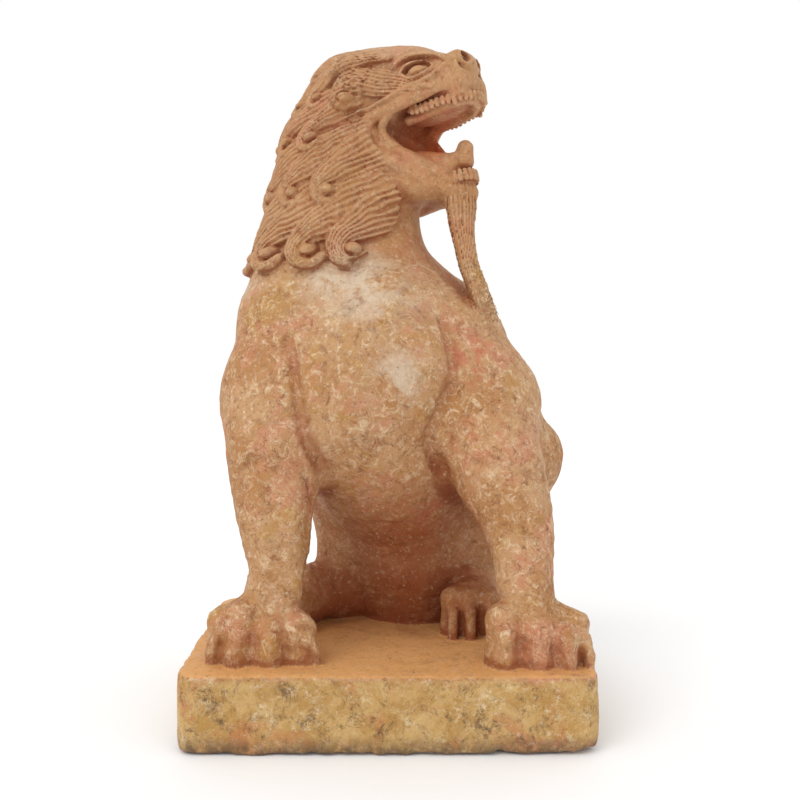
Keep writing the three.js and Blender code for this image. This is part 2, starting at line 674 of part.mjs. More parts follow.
// Fewer triangles: the edges whose loss changes the surface least are closed up first.
// Each point carries the planes it stands for as a quadric, ten numbers of a symmetric 4 x 4 matrix.
function thin({ positions, triangles }, target) {
  const quadrics = positions.map(() => new Float64Array(10));
  const faces = positions.map(() => new Set());
  const normalOf = ([a, b, c], at = positions) => cross(sub(at[b], at[a]), sub(at[c], at[a]));
  const live = triangles.map((triangle) => [...triangle]);
  live.forEach((triangle, t) => {
    const normal = normalOf(triangle);
    const area = Math.hypot(...normal);
    const care = positions[triangle[0]][2] > FACE_CARE.above ? FACE_CARE.weight : 1;
    if (area > 0) {
      const plane = [...scale(normal, 1 / area), 0];
      plane[3] = -dot(plane, positions[triangle[0]]);
      let n = 0;
      for (let i = 0; i < 4; i++)
        for (let j = i; j < 4; j++, n++)
          for (const v of triangle) quadrics[v][n] += plane[i] * plane[j] * area * care;
    }
    for (const v of triangle) faces[v].add(t);
  });
  const bending = (q, [x, y, z]) =>
    q[0] * x * x + q[4] * y * y + q[7] * z * z + q[9] +
    2 * (q[1] * x * y + q[2] * x * z + q[3] * x + q[5] * y * z + q[6] * y + q[8] * z);
  const bestPoint = (q, a, b) => {
    const rows = new THREE.Matrix3().set(q[0], q[1], q[2], q[1], q[4], q[5], q[2], q[5], q[7]);
    const spread = (q[0] + q[4] + q[7]) / 3;
    const middle = mixed(a, b, 0.5);
    if (Math.abs(rows.determinant()) > 1e-4 * spread ** 3) {
      const solved = new THREE.Vector3(-q[3], -q[6], -q[8]).applyMatrix3(rows.invert()).toArray();
      if (Math.hypot(...sub(solved, middle)) < 1.5 * Math.hypot(...sub(a, b))) return solved;
    }
    return [a, b, middle].sort((p, r) => bending(q, p) - bending(q, r))[0];
  };

  // A heap of candidate edges, cheapest first
  const heap = [];
  const version = new Uint32Array(positions.length);
  const swap = (i, j) => ([heap[i], heap[j]] = [heap[j], heap[i]]);
  const push = (item) => {
    heap.push(item);
    for (let i = heap.length - 1; i > 0; ) {
      const parent = (i - 1) >> 1;
      if (heap[parent].cost <= heap[i].cost) break;
      swap(i, parent);
      i = parent;
    }
  };
  const pop = () => {
    swap(0, heap.length - 1);
    const top = heap.pop();
    for (let i = 0; ; ) {
      let least = i;
      for (const child of [2 * i + 1, 2 * i + 2])
        if (child < heap.length && heap[child].cost < heap[least].cost) least = child;
      if (least === i) break;
      swap(i, least);
      i = least;
    }
    return top;
  };
  const offer = (a, b) => {
    const q = quadrics[a].map((value, n) => value + quadrics[b][n]);
    const at = bestPoint(q, positions[a], positions[b]);
    const length = Math.hypot(...sub(positions[a], positions[b]));
    const cost = length < CELL / 4 ? 0 : bending(q, at) + 0.01 * length;
    push({ cost, a, b, at, stamp: version[a] + version[b] });
  };
  // A triangle's direction, and how far it is from a sliver
  const corners = ([p, q, r]) => {
    const normal = cross(sub(q, p), sub(r, p));
    const size = Math.hypot(...normal);
    const longest = Math.max(...[sub(q, p), sub(r, q), sub(p, r)].map((edge) => dot(edge, edge)));
    return { normal: scale(normal, 1 / (size || 1)), shape: size / longest };
  };
  const neighbours = (v) => {
    const found = new Set();
    for (const t of faces[v]) for (const w of live[t]) if (w !== v) found.add(w);
    return found;
  };
  positions.forEach((_, a) => {
    for (const b of neighbours(a)) if (a < b) offer(a, b);
  });

  let left = live.length;
  while (left > target && heap.length) {
    const { a, b, at, stamp } = pop();
    if (!faces[a] || !faces[b] || version[a] + version[b] !== stamp) continue;
    const near = neighbours(b);
    const shared = [...neighbours(a)].filter((v) => near.has(v));
    if (shared.length !== 2) continue;
    const gone = [...faces[a]].filter((t) => faces[b].has(t));
    const kept = [...faces[a], ...faces[b]].filter((t) => !gone.includes(t));
    const spoils = kept.some((t) => {
      const before = corners(live[t].map((v) => positions[v]));
      const after = corners(live[t].map((v) => (v === a || v === b ? at : positions[v])));
      const thinner = after.shape < 0.05 && after.shape < 0.7 * before.shape;
      return thinner || (before.shape > 0.01 && dot(before.normal, after.normal) < 0.2);
    });
    if (spoils) continue;
    for (const t of gone) {
      for (const v of live[t]) faces[v].delete(t);
      live[t] = null;
      left--;
    }
    for (const t of faces[b]) {
      live[t] = live[t].map((v) => (v === b ? a : v));
      faces[a].add(t);
    }
    positions[a] = at;
    quadrics[a] = quadrics[a].map((value, n) => value + quadrics[b][n]);
    faces[b] = null;
    version[a] += 1 + version[b];
    for (const v of neighbours(a)) offer(a, v);
  }
  return { positions, triangles: live.filter(Boolean) };
}

// A geometry whose triangles share their vertices
function geometryOf({ positions, triangles }) {
  const geometry = new THREE.BufferGeometry();
  geometry.setAttribute("position", new THREE.Float32BufferAttribute(positions.flat(), 3));
  geometry.setIndex(triangles.flat());
  return geometry;
}

const wasm = await Module();
wasm.setup();

function solidOf(geometry) {
  const bare = geometry.clone().deleteAttribute("normal").deleteAttribute("uv");
  const merged = mergeVertices(bare, 1e-4);
  return new wasm.Manifold(
    new wasm.Mesh({
      numProp: 3,
      vertProperties: merged.attributes.position.array,
      triVerts: new Uint32Array(merged.index.array),
    }),
  );
}

// The plinth: a slab with rounded corners, the back ones rounder, and softened edges
function plinthGeometry() {
  const { width, depth, height, corner, backCorner, edge } = PLINTH;
  const x = width / 2 - edge;
  const y = depth / 2 - edge;
  const r = corner - edge;
  const back = backCorner - edge;
  const outline = new THREE.Shape();
  outline.absarc(x - back, y - back, back, 0, Math.PI / 2);
  outline.absarc(back - x, y - back, back, Math.PI / 2, Math.PI);
  outline.absarc(r - x, r - y, r, Math.PI, 1.5 * Math.PI);
  outline.absarc(x - r, r - y, r, 1.5 * Math.PI, 2 * Math.PI);
  return new THREE.ExtrudeGeometry(outline, {
    depth: height - 2 * edge,
    bevelSize: edge,
    bevelThickness: edge,
    bevelSegments: 2,
    curveSegments: 6,
  }).translate(0, 0, edge);
}

// Grid lines from one value to another, evenly spaced
const lines = (from, to, spacing) => {
  const count = Math.ceil((to - from) / spacing);
  return Array.from({ length: count + 1 }, (_, i) => mix(from, to, i / count));
};
const halfWidth = PLINTH.width / 2 + CELL;
const halfDepth = PLINTH.depth / 2 + CELL;
const NECK = 600;
const grid = [
  lines(-halfWidth, halfWidth, 0.85 * CELL),
  lines(-halfDepth - SETBACK, halfDepth - SETBACK, 0.85 * CELL),
  [...lines(GROUND - 28, NECK, CELL), ...lines(NECK, 850, 0.7 * CELL).slice(1)],
];
const carved = thin(polygonize(lion, grid), TRIANGLES);
const whole = solidOf(plinthGeometry()).add(solidOf(geometryOf(carved).translate(0, SETBACK, 0)));
// Pockets that the curls close off are left solid: only the largest of the shells stays
const [outer] = whole.decompose().sort((a, b) => b.volume() - a.volume());
const mesh = outer.getMesh();
const geometry = new THREE.BufferGeometry();
geometry.setAttribute("position", new THREE.BufferAttribute(mesh.vertProperties, 3));
geometry.setIndex(new THREE.BufferAttribute(mesh.triVerts, 1));

const marble = new THREE.MeshStandardMaterial({ color: 0xd3a06f, roughness: 0.75, metalness: 0 });
const carving = new THREE.Mesh(geometry, marble);
carving.name = "lion_on_plinth";
const part = new THREE.Group();
part.add(carving);

export default part;
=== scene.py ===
import itertools
import math

import bpy
import numpy as np
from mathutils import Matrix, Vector


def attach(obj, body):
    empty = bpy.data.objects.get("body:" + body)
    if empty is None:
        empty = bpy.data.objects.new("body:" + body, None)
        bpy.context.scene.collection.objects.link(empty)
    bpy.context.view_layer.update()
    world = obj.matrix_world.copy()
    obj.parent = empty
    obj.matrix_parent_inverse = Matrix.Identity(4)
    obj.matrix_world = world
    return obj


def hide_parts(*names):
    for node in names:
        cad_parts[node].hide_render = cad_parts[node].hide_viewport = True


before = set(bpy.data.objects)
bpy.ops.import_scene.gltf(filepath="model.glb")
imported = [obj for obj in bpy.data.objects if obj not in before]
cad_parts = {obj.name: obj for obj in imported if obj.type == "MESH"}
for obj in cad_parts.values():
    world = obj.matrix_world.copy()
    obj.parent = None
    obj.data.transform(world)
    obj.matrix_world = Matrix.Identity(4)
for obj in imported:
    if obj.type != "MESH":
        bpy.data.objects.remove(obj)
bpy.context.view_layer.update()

MM = 0.001

# Driving dimensions, in millimetres
PLINTH = {"width": 460, "depth": 370, "height": 85, "corner": 26, "back_corner": 45}
SETBACK = 50  # the lion is drawn with this much less Y than it stands at
GROUND = PLINTH["height"]
CHEST = (-14, -62, 405)
HIPS = (42, 34, 205)
HEAD_CENTRE = (-12, -20, 748)
HEAD_TURN = math.radians(35)  # from +X towards the front
HEAD_LIFT = math.radians(12)
CROWN = 760  # above this height the mane is laid out by angle over the top of the head
MANE_END = 535  # the head piece, with the mane, is what stands above this height
CAMERA = {"x": -28, "distance": 1190, "height": 400, "lens": 40.5, "shift": (0.0475, -0.025)}

# How fine the meshes are
TRIANGLES = 415_000  # of the whole carving, so that each piece stays under 200,000
CURVE_STEPS = 3  # pieces of a curve between one joint and the next

WORLD = np.eye(3, dtype=np.float32)


def unit(a):
    a = np.asarray(a, float)
    return a / np.linalg.norm(a)


level = math.cos(HEAD_LIFT)
head_forward = np.array([level * math.cos(HEAD_TURN), -level * math.sin(HEAD_TURN), math.sin(HEAD_LIFT)])
head_right = unit(np.cross(head_forward, (0, 0, 1)))
head_up = np.cross(head_right, head_forward)
HEAD_AXES = np.array([head_forward, head_right, head_up])


def on_head(forward, right, up):
    return np.array(HEAD_CENTRE) + np.array((forward, right, up)) @ HEAD_AXES


class Shape:
    """A solid given by its distance function, and the box that holds it."""

    def __init__(self, points, margins, distance):
        points = np.asarray(points, float)
        margins = np.asarray(margins, float).reshape(-1, 1)
        self.low = (points - margins).min(0)
        self.high = (points + margins).max(0)
        self.distance = distance


def oval_distance(offsets, radii):
    share = offsets / radii
    near = np.sqrt((share**2).sum(1) + 1e-9)
    slope = np.sqrt(((share / radii) ** 2).sum(1) + 1e-12)
    return near * (near - 1) / slope


def ball(centre, radii, axes=WORLD):
    axes = np.asarray(axes, np.float32)
    at = np.asarray(centre, np.float32)
    size = np.asarray(radii, np.float32)
    return Shape([centre], [max(radii)], lambda p: oval_distance((p - at) @ axes.T, size))


def slab(origin, corners, span, axes=WORLD):
    """A drawn profile, in axes 0 and 2, that reaches over span along axis 1."""
    axes = np.asarray(axes, np.float32)
    at = np.asarray(origin, np.float32)
    low, high = span
    reach = [at + np.array((a, b, c)) @ axes for a, c in corners for b in span]

    def distance(p):
        a, b, c = ((p - at) @ axes.T).T
        nearest = np.full(len(p), np.inf, np.float32)
        inside = np.zeros(len(p), bool)
        for (a0, c0), (a1, c1) in zip(corners, corners[1:] + corners[:1]):
            t = ((a - a0) * (a1 - a0) + (c - c0) * (c1 - c0)) / ((a1 - a0) ** 2 + (c1 - c0) ** 2)
            t = np.clip(t, 0, 1)
            gap = np.hypot(a - a0 - (a1 - a0) * t, c - c0 - (c1 - c0) * t)
            nearest = np.minimum(nearest, gap)
            if c0 != c1:
                inside ^= ((c0 > c) != (c1 > c)) & (a < a0 + (c - c0) * (a1 - a0) / (c1 - c0))
        profile = np.where(inside, -nearest, nearest)
        ends = np.maximum(low - b, b - high)
        outside = np.hypot(np.maximum(profile, 0), np.maximum(ends, 0))
        return np.minimum(np.maximum(profile, ends), 0) + outside

    return Shape(reach, np.zeros(len(reach)), distance)


def limb(*joints):
    """A chain of tapered bones. Each joint is (x, y, z, radius)."""
    joints = np.asarray(joints, np.float32)

    def distance(p):
        best = np.full(len(p), np.inf, np.float32)
        for start, end in zip(joints, joints[1:]):
            along = end[:3] - start[:3]
            q = p - start[:3]
            t = np.clip(q @ along / (along @ along), 0, 1)
            gap = np.linalg.norm(q - t[:, None] * along, axis=1)
            best = np.minimum(best, gap - start[3] - (end[3] - start[3]) * t)
        return best

    return Shape(joints[:, :3], joints[:, 3], distance)


def smooth_path(rows, steps=CURVE_STEPS):
    """A Catmull-Rom curve through rows of numbers, with steps pieces between one row and the next."""
    rows = np.asarray(rows, float)
    padded = np.concatenate([2 * rows[:1] - rows[1:2], rows, 2 * rows[-1:] - rows[-2:-1]])
    out = []
    for a, b, c, d in zip(padded, padded[1:], padded[2:], padded[3:]):
        for t in np.arange(steps) / steps:
            bent = b + (c - a) * t / 2 + (a - 2.5 * b + 2 * c - d / 2) * t**2
            out.append(bent + (1.5 * (b - c) + (d - a) / 2) * t**3)
    return np.array(out + [rows[-1]])


def strip(at, half, thick, face, strands=0, depth=0.0):
    """A flattened band along a path, with its own width, thickness and facing at each station.
    Strands are grooves that run along it and fade where it is narrower than strand_width."""
    strand_width = 8
    at, half, thick, face = (np.asarray(v, np.float32) for v in (at, half, thick, face))
    along = at[1:] - at[:-1]
    length = (along**2).sum(1)
    forward = along / np.sqrt(length)[:, None]
    side = np.cross(forward, (face[1:] + face[:-1]) / 2)
    side /= np.linalg.norm(side, axis=1)[:, None]
    up = np.cross(side, forward)

    def distance(p):
        q = p[None] - at[:-1, None]
        t = np.clip((q * along[:, None]).sum(2) / length[:, None], 0, 1)
        q -= t[..., None] * along[:, None]
        width = half[:-1, None] + (half[1:] - half[:-1])[:, None] * t
        s = (np.sqrt((q**2).sum(2)) - width).argmin(0)
        own = np.arange(len(p))
        q, t, w = q[s, own], t[s, own], width[s, own]
        h = thick[s] + (thick[s + 1] - thick[s]) * t
        end = np.minimum(w, h)
        offsets = np.stack([(q * side[s]).sum(1), (q * up[s]).sum(1), (q * forward[s]).sum(1)], 1)
        d = oval_distance(offsets, np.stack([w, h, end], 1))
        if strands:
            groove = 0.5 + 0.5 * np.cos(math.pi * strands * offsets[:, 0] / w)
            d = d + depth * groove**2 * np.clip(w / strand_width, 0, 1)
        return d

    return Shape(at, np.maximum(half, thick), distance)


class Noise:
    """Smooth random values, mostly between -1 and 1, in lumps about scale millimetres across."""

    cells = 32  # after this many lumps the values repeat
    swing = 1.6

    def __init__(self, seed, scale):
        size = (self.cells,) * 3
        self.values = np.random.default_rng(seed).uniform(-self.swing, self.swing, size).astype(np.float32)
        self.scale = scale

    def __call__(self, p):
        q = np.asarray(p, np.float32) / self.scale
        low = np.floor(q).astype(np.int32)
        t = q - low
        t = t * t * (3 - 2 * t)
        total = np.zeros(len(q), np.float32)
        for corner in itertools.product((0, 1), repeat=3):
            weight = np.prod(np.where(corner, t, 1 - t), axis=1)
            i, j, k = ((low + np.array(corner, np.int32)) % self.cells).T
            total += weight * self.values[i, j, k]
        return total


class Relief:
    """A height map in millimetres, drawn lock by lock, which raises the skin that it is laid over."""

    lock_steps = 6  # pieces of a lock's curve between one row and the next
    strand_width = 9  # strands fade where a lock is narrower than this
    strand_wave = 0.07  # how far strands waver, as a share of the lock's width

    def __init__(self, low, high, step=0.7):
        self.low, self.step = np.array(low, float), step
        lines = [np.arange(a, b + step, step) for a, b in zip(low, high)]
        self.u, self.v = np.meshgrid(*lines, indexing="ij")
        self.height = np.zeros(self.u.shape)
        self.wave = Noise(11, 14)

    def window(self, points, margin):
        """The part of the map that holds the points and a margin round them."""
        low = np.maximum((np.min(points, 0) - margin - self.low) / self.step, 0).astype(int)
        high = np.maximum((np.max(points, 0) + margin - self.low) / self.step, 0).astype(int) + 2
        return slice(low[0], high[0]), slice(low[1], high[1])

    def lock(self, rows, strands=0, depth=0.0, edge=0.5):
        """Raises a tapering band. Each row is u, v, half the width, height. Its strands run along it and
        come together where it narrows."""
        rows = smooth_path(rows, self.lock_steps)
        own = self.window(rows[:, :2], rows[:, 2].max())
        q = np.stack([self.u[own].ravel(), self.v[own].ravel()], 1)
        nearest = np.full(len(q), np.inf)
        offset = np.full(len(q), np.inf)
        across = np.zeros(len(q))
        width = np.ones(len(q))
        rise = np.zeros(len(q))
        for start, end in zip(rows, rows[1:]):
            along = end[:2] - start[:2]
            t = np.clip((q - start[:2]) @ along / (along @ along), 0, 1)
            gap = q - start[:2] - t[:, None] * along
            off = np.hypot(*gap.T)
            w = start[2] + (end[2] - start[2]) * t
            nearer = off / w < nearest
            nearest = np.where(nearer, off / w, nearest)
            offset = np.where(nearer, off, offset)
            side = (along[0] * gap[:, 1] - along[1] * gap[:, 0]) / np.hypot(*along)
            across = np.where(nearer, side / w, across)
            width = np.where(nearer, w, width)
            rise = np.where(nearer, start[3] + (end[3] - start[3]) * t, rise)
        height = rise * np.clip(1 - (offset / width) ** 2, 0, 1) ** edge
        if strands:
            bent = across + self.strand_wave * self.wave(np.stack([q[:, 0], q[:, 1], rise], 1))
            groove = (0.5 + 0.5 * np.cos(math.pi * strands * bent)) ** 1.5
            height = height - depth * groove * np.clip(width / self.strand_width, 0, 1)
        old = self.height[own].ravel()
        raised = np.where(offset < width, np.maximum(old, height), old)
        self.height[own] = raised.reshape(self.height[own].shape)

    def knob(self, u, v, radius, height):
        """Raises half a ball, squashed or drawn out to the height."""
        own = self.window([(u, v)], radius)
        off = np.hypot(self.u[own] - u, self.v[own] - v) / radius
        self.height[own] = np.maximum(self.height[own], height * np.sqrt(np.clip(1 - off**2, 0, 1)))

    def __call__(self, u, v):
        x = np.clip((u - self.low[0]) / self.step, 0, self.height.shape[0] - 1.01)
        y = np.clip((v - self.low[1]) / self.step, 0, self.height.shape[1] - 1.01)
        i, j = x.astype(int), y.astype(int)
        x, y = x - i, y - j
        h = self.height
        low = h[i, j] * (1 - x) + h[i + 1, j] * x
        return low * (1 - y) + (h[i, j + 1] * (1 - x) + h[i + 1, j + 1] * x) * y


FAR = 60.0  # millimetres: the distance where no shape is near


class Sculpture:
    """Clay that is added and stone that is cut away, one shape after another, each with a soft seam."""

    def __init__(self):
        self.steps = []
        self.boxes = []

    def add(self, shape, seam=12.0):
        self.steps.append((shape, seam, 1))

    def carve(self, shape, seam=4.0):
        self.steps.append((shape, seam, -1))

    def raise_skin(self, low, high, height):
        """Moves the surface out by a height that depends on the place."""
        self.steps.append((Shape([low, high], [0, 0], height), 0.0, 0))

    def change(self, p, d, low, high, reach):
        """Takes every step within reach of the box from low to high, on the points p with distances d."""
        if len(self.boxes) != len(self.steps):
            self.boxes = np.array([(s.low - seam, s.high + seam) for s, seam, _ in self.steps])
        meets = (self.boxes[:, 0] <= high + reach) & (self.boxes[:, 1] >= low - reach)
        for n in np.nonzero(meets.all(1))[0]:
            shape, seam, sign = self.steps[n]
            if sign == 0:
                d = d - shape.distance(p)
                continue
            other = sign * shape.distance(p)
            overlap = np.maximum(seam - np.abs(d - other), 0) / seam
            soft = overlap**2 * seam / 4
            d = np.minimum(d, other) - soft if sign > 0 else np.maximum(d, other) + soft
        return d

    def distance(self, p, reach=40):
        """Distances at scattered points."""
        p = np.asarray(p, np.float32)
        return self.change(p, np.full(len(p), FAR, np.float32), p.min(0), p.max(0), reach)

    def distances(self, points, reach, cell=30.0):
        """Distances up to reach at many points, worked out one small cell of space after another."""
        key = np.floor(np.asarray(points) / cell).astype(np.int64) @ (1, 1000, 1000000)
        order = np.argsort(key, kind="stable")
        out = np.empty(len(points), np.float32)
        for own in np.split(order, np.nonzero(np.diff(key[order]))[0] + 1):
            out[own] = self.distance(points[own], reach)
        return out

    def surface_along(self, starts, directions, furthest=220.0, halvings=18):
        """Where rays from inside the sculpture leave it."""
        inside = np.zeros(len(starts))
        outside = np.full(len(starts), furthest)
        for _ in range(halvings):
            middle = (inside + outside) / 2
            within = self.distance(starts + directions * middle[:, None]) < 0
            inside = np.where(within, middle, inside)
            outside = np.where(within, outside, middle)
        return starts + directions * inside[:, None]

    def sample(self, lines, size=9, groups=60, seam_reach=3):
        """The distances on a grid. Blocks of size points a side that are far from the surface take one
        value each."""
        counts = [len(line) for line in lines]
        field = np.empty(counts, np.float32)
        cells = list(itertools.product(*(range(0, count, size) for count in counts)))
        middle, reach = [], []
        for cell in cells:
            low = np.array([lines[a][cell[a]] for a in range(3)])
            high = np.array([lines[a][min(cell[a] + size, counts[a]) - 1] for a in range(3)])
            middle.append((low + high) / 2)
            reach.append(np.linalg.norm(high - low) / 2)
        far = np.concatenate([self.distance(group) for group in np.array_split(np.array(middle), groups)])
        for cell, value, radius in zip(cells, far, reach):
            part = field[tuple(slice(a, a + size) for a in cell)]
            if abs(value) > 1.4 * radius + 6:
                part[...] = value
                continue
            axes = [lines[a][cell[a] : cell[a] + size] for a in range(3)]
            p = np.stack(np.meshgrid(*axes, indexing="ij"), -1).reshape(-1, 3).astype(np.float32)
            start = np.full(len(p), FAR, np.float32)
            part[...] = self.change(p, start, p.min(0), p.max(0), seam_reach).reshape(part.shape)
        return field


def surface_net(field, lines):
    """A quad mesh of the zero surface of a field on a grid."""
    inside = field < 0
    cells = np.zeros([n - 1 for n in field.shape], np.int8)
    shifts = list(itertools.product((0, 1), repeat=3))
    for shift in shifts:
        cells += inside[tuple(slice(s, s + n - 1) for s, n in zip(shift, inside.shape))]
    i, j, k = np.nonzero((cells > 0) & (cells < 8))
    total = np.zeros((len(i), 3))
    crossings = np.zeros(len(i))
    for a in shifts:
        for axis in range(3):
            if a[axis]:
                continue
            b = tuple(v + (n == axis) for n, v in enumerate(a))
            va = field[i + a[0], j + a[1], k + a[2]]
            vb = field[i + b[0], j + b[1], k + b[2]]
            cut = (va < 0) != (vb < 0)
            t = np.where(cut, va / np.where(cut, va - vb, 1), 0)
            at = [lines[n][c + a[n]] for n, c in enumerate((i, j, k))]
            step = lines[axis][(i, j, k)[axis] + 1] - lines[axis][(i, j, k)[axis]]
            at[axis] = at[axis] + t * step
            total += np.stack(at, 1) * cut[:, None]
            crossings += cut
    points = total / crossings[:, None]
    number = np.full(cells.shape, -1, np.int32)
    number[i, j, k] = np.arange(len(i))
    quads = []
    for axis in range(3):
        u, v = (axis + 1) % 3, (axis + 2) % 3
        first = [slice(1, -1)] * 3
        second = [slice(1, -1)] * 3
        first[axis], second[axis] = slice(0, -1), slice(1, None)
        a, b = inside[tuple(first)], inside[tuple(second)]
        for turned, found in ((False, a & ~b), (True, ~a & b)):
            where = np.array(np.nonzero(found))
            where[u] += 1
            where[v] += 1
            ring = []
            for du, dv in ((-1, -1), (0, -1), (0, 0), (-1, 0)):
                c = where.copy()
                c[u] += du
                c[v] += dv
                ring.append(number[tuple(c)])
            quads.append(np.stack(ring[::-1] if turned else ring, 1))
    return points, np.concatenate(quads)


# The lion, step by step. Places are x, y and z, and a joint has its radius after them.


def mixed(a, b, t):
    return tuple(x + (y - x) * t for x, y in zip(a, b))


def cord(joints, steps=CURVE_STEPS):
    """A limb that bends smoothly through its joints."""
    return limb(*smooth_path(joints, steps))


def rope(points, radius):
    """A smooth limb of one radius."""
    return limb(*((*p, radius) for p in smooth_path(points)))


def torso(lion):
    withers = ball((-38, -42, 482), (138, 98, 106))
    breast = ball((-22, -100, 392), (105, 82, 108))
    back = limb((*CHEST, 112), (*mixed(CHEST, HIPS, 0.55), 112), (*HIPS, 85))
    haunches = ball((52, 44, 168), (122, 84, 92))
    belly = limb((0, -60, 330, 80), (32, -10, 230, 66), (36, 40, GROUND + 10, 62))
    lion.add(ball(CHEST, (144, 118, 150)))
    lion.add(withers, seam=24)
    lion.add(breast, seam=40)
    lion.add(back, seam=50)
    lion.add(haunches, seam=40)
    lion.add(belly, seam=40)


RIGHT_FORELEG = (
    (-131, -98, 400, 60), (-130, -128, 330, 59), (-129, -137, 292, 54),
    (-130, -147, 249, 45), (-126, -155, 205, 37), (-127, -158, 178, 32),
    (-133, -160, 140, 32),
)
LEFT_FORELEG = (
    (104, -100, 392, 58), (126, -134, 308, 56), (142, -148, 263, 47),
    (155, -158, 219, 37), (158, -166, 176, 31), (160, -170, 140, 32),
)

# Lines on the front of the forelegs and the chest: x and z
FOREARM_FOLDS = (
    ((-172, 284), (-166, 300), (-142, 309), (-112, 307), (-92, 292), (-84, 262)),
    ((98, 306), (122, 302), (150, 298), (176, 288)),
)
SHOULDER_GROOVES = (
    ((-114, 446), (-106, 415), (-99, 370), (-92, 337), (-76, 304)),
    ((66, 468), (77, 410), (58, 360), (47, 328), (66, 296)),
)
SINEWS = (
    ((-146, -186, 286), (-138, -186, 240), (-136, -182, 200), (-140, -182, 165)),
    ((-108, -178, 276), (-108, -179, 230), (-108, -177, 190), (-106, -177, 160)),
    ((84, -114, 330), (104, -144, 290), (124, -164, 240), (132, -170, 200), (134, -177, 165)),
    ((150, -186, 276), (160, -185, 240), (164, -184, 200), (166, -186, 165)),
)


def cut_in_front(lion, line, inside, radius, seam):
    """Carves a groove along a line where it meets the front, looked at from y = inside, in the stone."""
    rows = smooth_path(line)
    starts = np.stack([rows[:, 0], np.full(len(rows), inside), rows[:, 1]], 1)
    skin = lion.surface_along(starts, np.tile((0.0, -1.0, 0.0), (len(rows), 1)))
    lion.carve(limb(*((*p, radius) for p in skin)), seam)


def forelegs(lion):
    right_shoulder, left_shoulder = ball((-113, -56, 446), (71, 78, 84)), ball((83, -62, 422), (74, 76, 94))
    right_elbow, left_elbow = ball((-149, -78, 370), (52, 62, 70)), ball((138, -80, 368), (54, 62, 70))
    lion.add(right_shoulder, seam=34)
    lion.add(left_shoulder, seam=30)
    lion.add(right_elbow, seam=24)
    lion.add(left_elbow, seam=24)
    lion.add(cord(RIGHT_FORELEG), seam=22)
    lion.add(cord(LEFT_FORELEG), seam=22)
    for fold, inside in zip(FOREARM_FOLDS, (-90, -100)):
        cut_in_front(lion, fold, inside, radius=2.2, seam=7)
    for groove in SHOULDER_GROOVES:
        cut_in_front(lion, groove, -70, radius=3.5, seam=12)
    for sinew in SINEWS:
        lion.add(rope(sinew, 5), seam=20)


# Each paw: where its toes start from, and for each toe the middle of its knuckle, its radius, and where its
# claw stands on the plinth
PAWS = {
    "right": (
        (-137, -156, 150),
        ((-186, -176, 128), 17, (-196, -197)),
        ((-164, -184, 132), 22, (-168, -207)),
        ((-131, -188, 124), 20, (-128, -207)),
        ((-100, -180, 119), 21, (-80, -197)),
    ),
    "left": (
        (166, -162, 150),
        ((130, -190, 132), 22, (129, -214)),
        ((164, -196, 124), 20, (167, -215)),
        ((195, -194, 115), 18, (200, -217)),
        ((213, -176, 126), 15, (222, -206)),
    ),
    "left hind": (
        (118, -30, 138),
        ((84, -70, 128), 15, (83, -98)),
        ((104, -74, 126), 16, (104, -102)),
        ((128, -72, 124), 15, (130, -98)),
        ((148, -62, 120), 13, (152, -84)),
    ),
    "right hind": (
        (-104, -14, 126),
        ((-112, -58, 118), 15, (-108, -80)),
        ((-130, -52, 120), 15, (-134, -72)),
        ((-146, -40, 118), 14, (-156, -56)),
    ),
}


def paw(lion, wrist, toes):
    """A foot's ball and, for each toe, the bone to its knuckle, the toe that stands below it and its claw."""
    breadth = abs(toes[0][0][0] - toes[-1][0][0])
    sole = (wrist[0], wrist[1] + 4, GROUND + 26)
    lion.add(ball(sole, (breadth / 2, 38, 40)), seam=14)
    for knuckle, radius, claw in toes:
        root = mixed(wrist, knuckle, 0.3)
        tip = (knuckle[0], knuckle[1] + 2, GROUND + 8)
        quick = mixed(knuckle, (*claw, GROUND), 0.55)
        lion.add(limb((*root, radius * 0.7), (*knuckle, radius)), seam=7)
        lion.add(limb((*knuckle, radius * 0.8), (*tip, radius)), seam=6)
        base = (quick[0], quick[1] - radius * 0.25, GROUND + 30, 7)
        bend = (claw[0], claw[1] + 6, GROUND + 12, 6.5)
        point = (claw[0], claw[1] + 6, GROUND - 2, 5.5)
        lion.add(limb(base, bend, point), seam=8)


def hind_legs(lion):
    left_thigh = limb((174, -42, 306, 52), (118, 36, 226, 82))
    left_shank = cord([(168, -40, 290, 46), (138, 12, 190, 42), (120, 6, 118, 34)])
    right_thigh = limb((-76, 6, 292, 38), (14, 50, 238, 70))
    right_shank = cord([(-74, 2, 290, 37), (-57, 14, 200, 33), (-56, 22, 118, 34)])
    right_foot = cord([(-30, 46, 112, 30), (-86, -4, 122, 34), (-116, -30, 114, 28)])
    flank = rope([(-62, -70, 330), (-40, -48, 290), (-22, -22, 240), (-16, 4, 180), (-18, 10, 120)], 9)
    belly_crease = rope([(74, -82, 320), (72, -48, 260), (72, -26, 200), (70, -10, 140)], 4)
    lion.add(left_thigh, seam=30)
    lion.add(left_shank, seam=22)
    lion.add(right_thigh, seam=26)
    lion.add(right_shank, seam=18)
    lion.add(right_foot, seam=18)
    lion.add(flank, seam=14)
    lion.carve(belly_crease, seam=10)


def tail(lion):
    joints = [(36, 108, 98, 18), (84, 116, 124, 16), (98, 104, 172, 15)]
    joints += [(66, 114, 218, 17), (38, 106, 256, 19), (52, 98, 304, 11)]
    lion.add(cord(joints, steps=4), seam=5)


NECK_FOOT = 500
NECK_JOINTS = np.array(
    [(-60, -15, NECK_FOOT), (-60, -15, 560), (-57, -12, 613), (-52, -10, 690), (-16, -18, CROWN)]
)


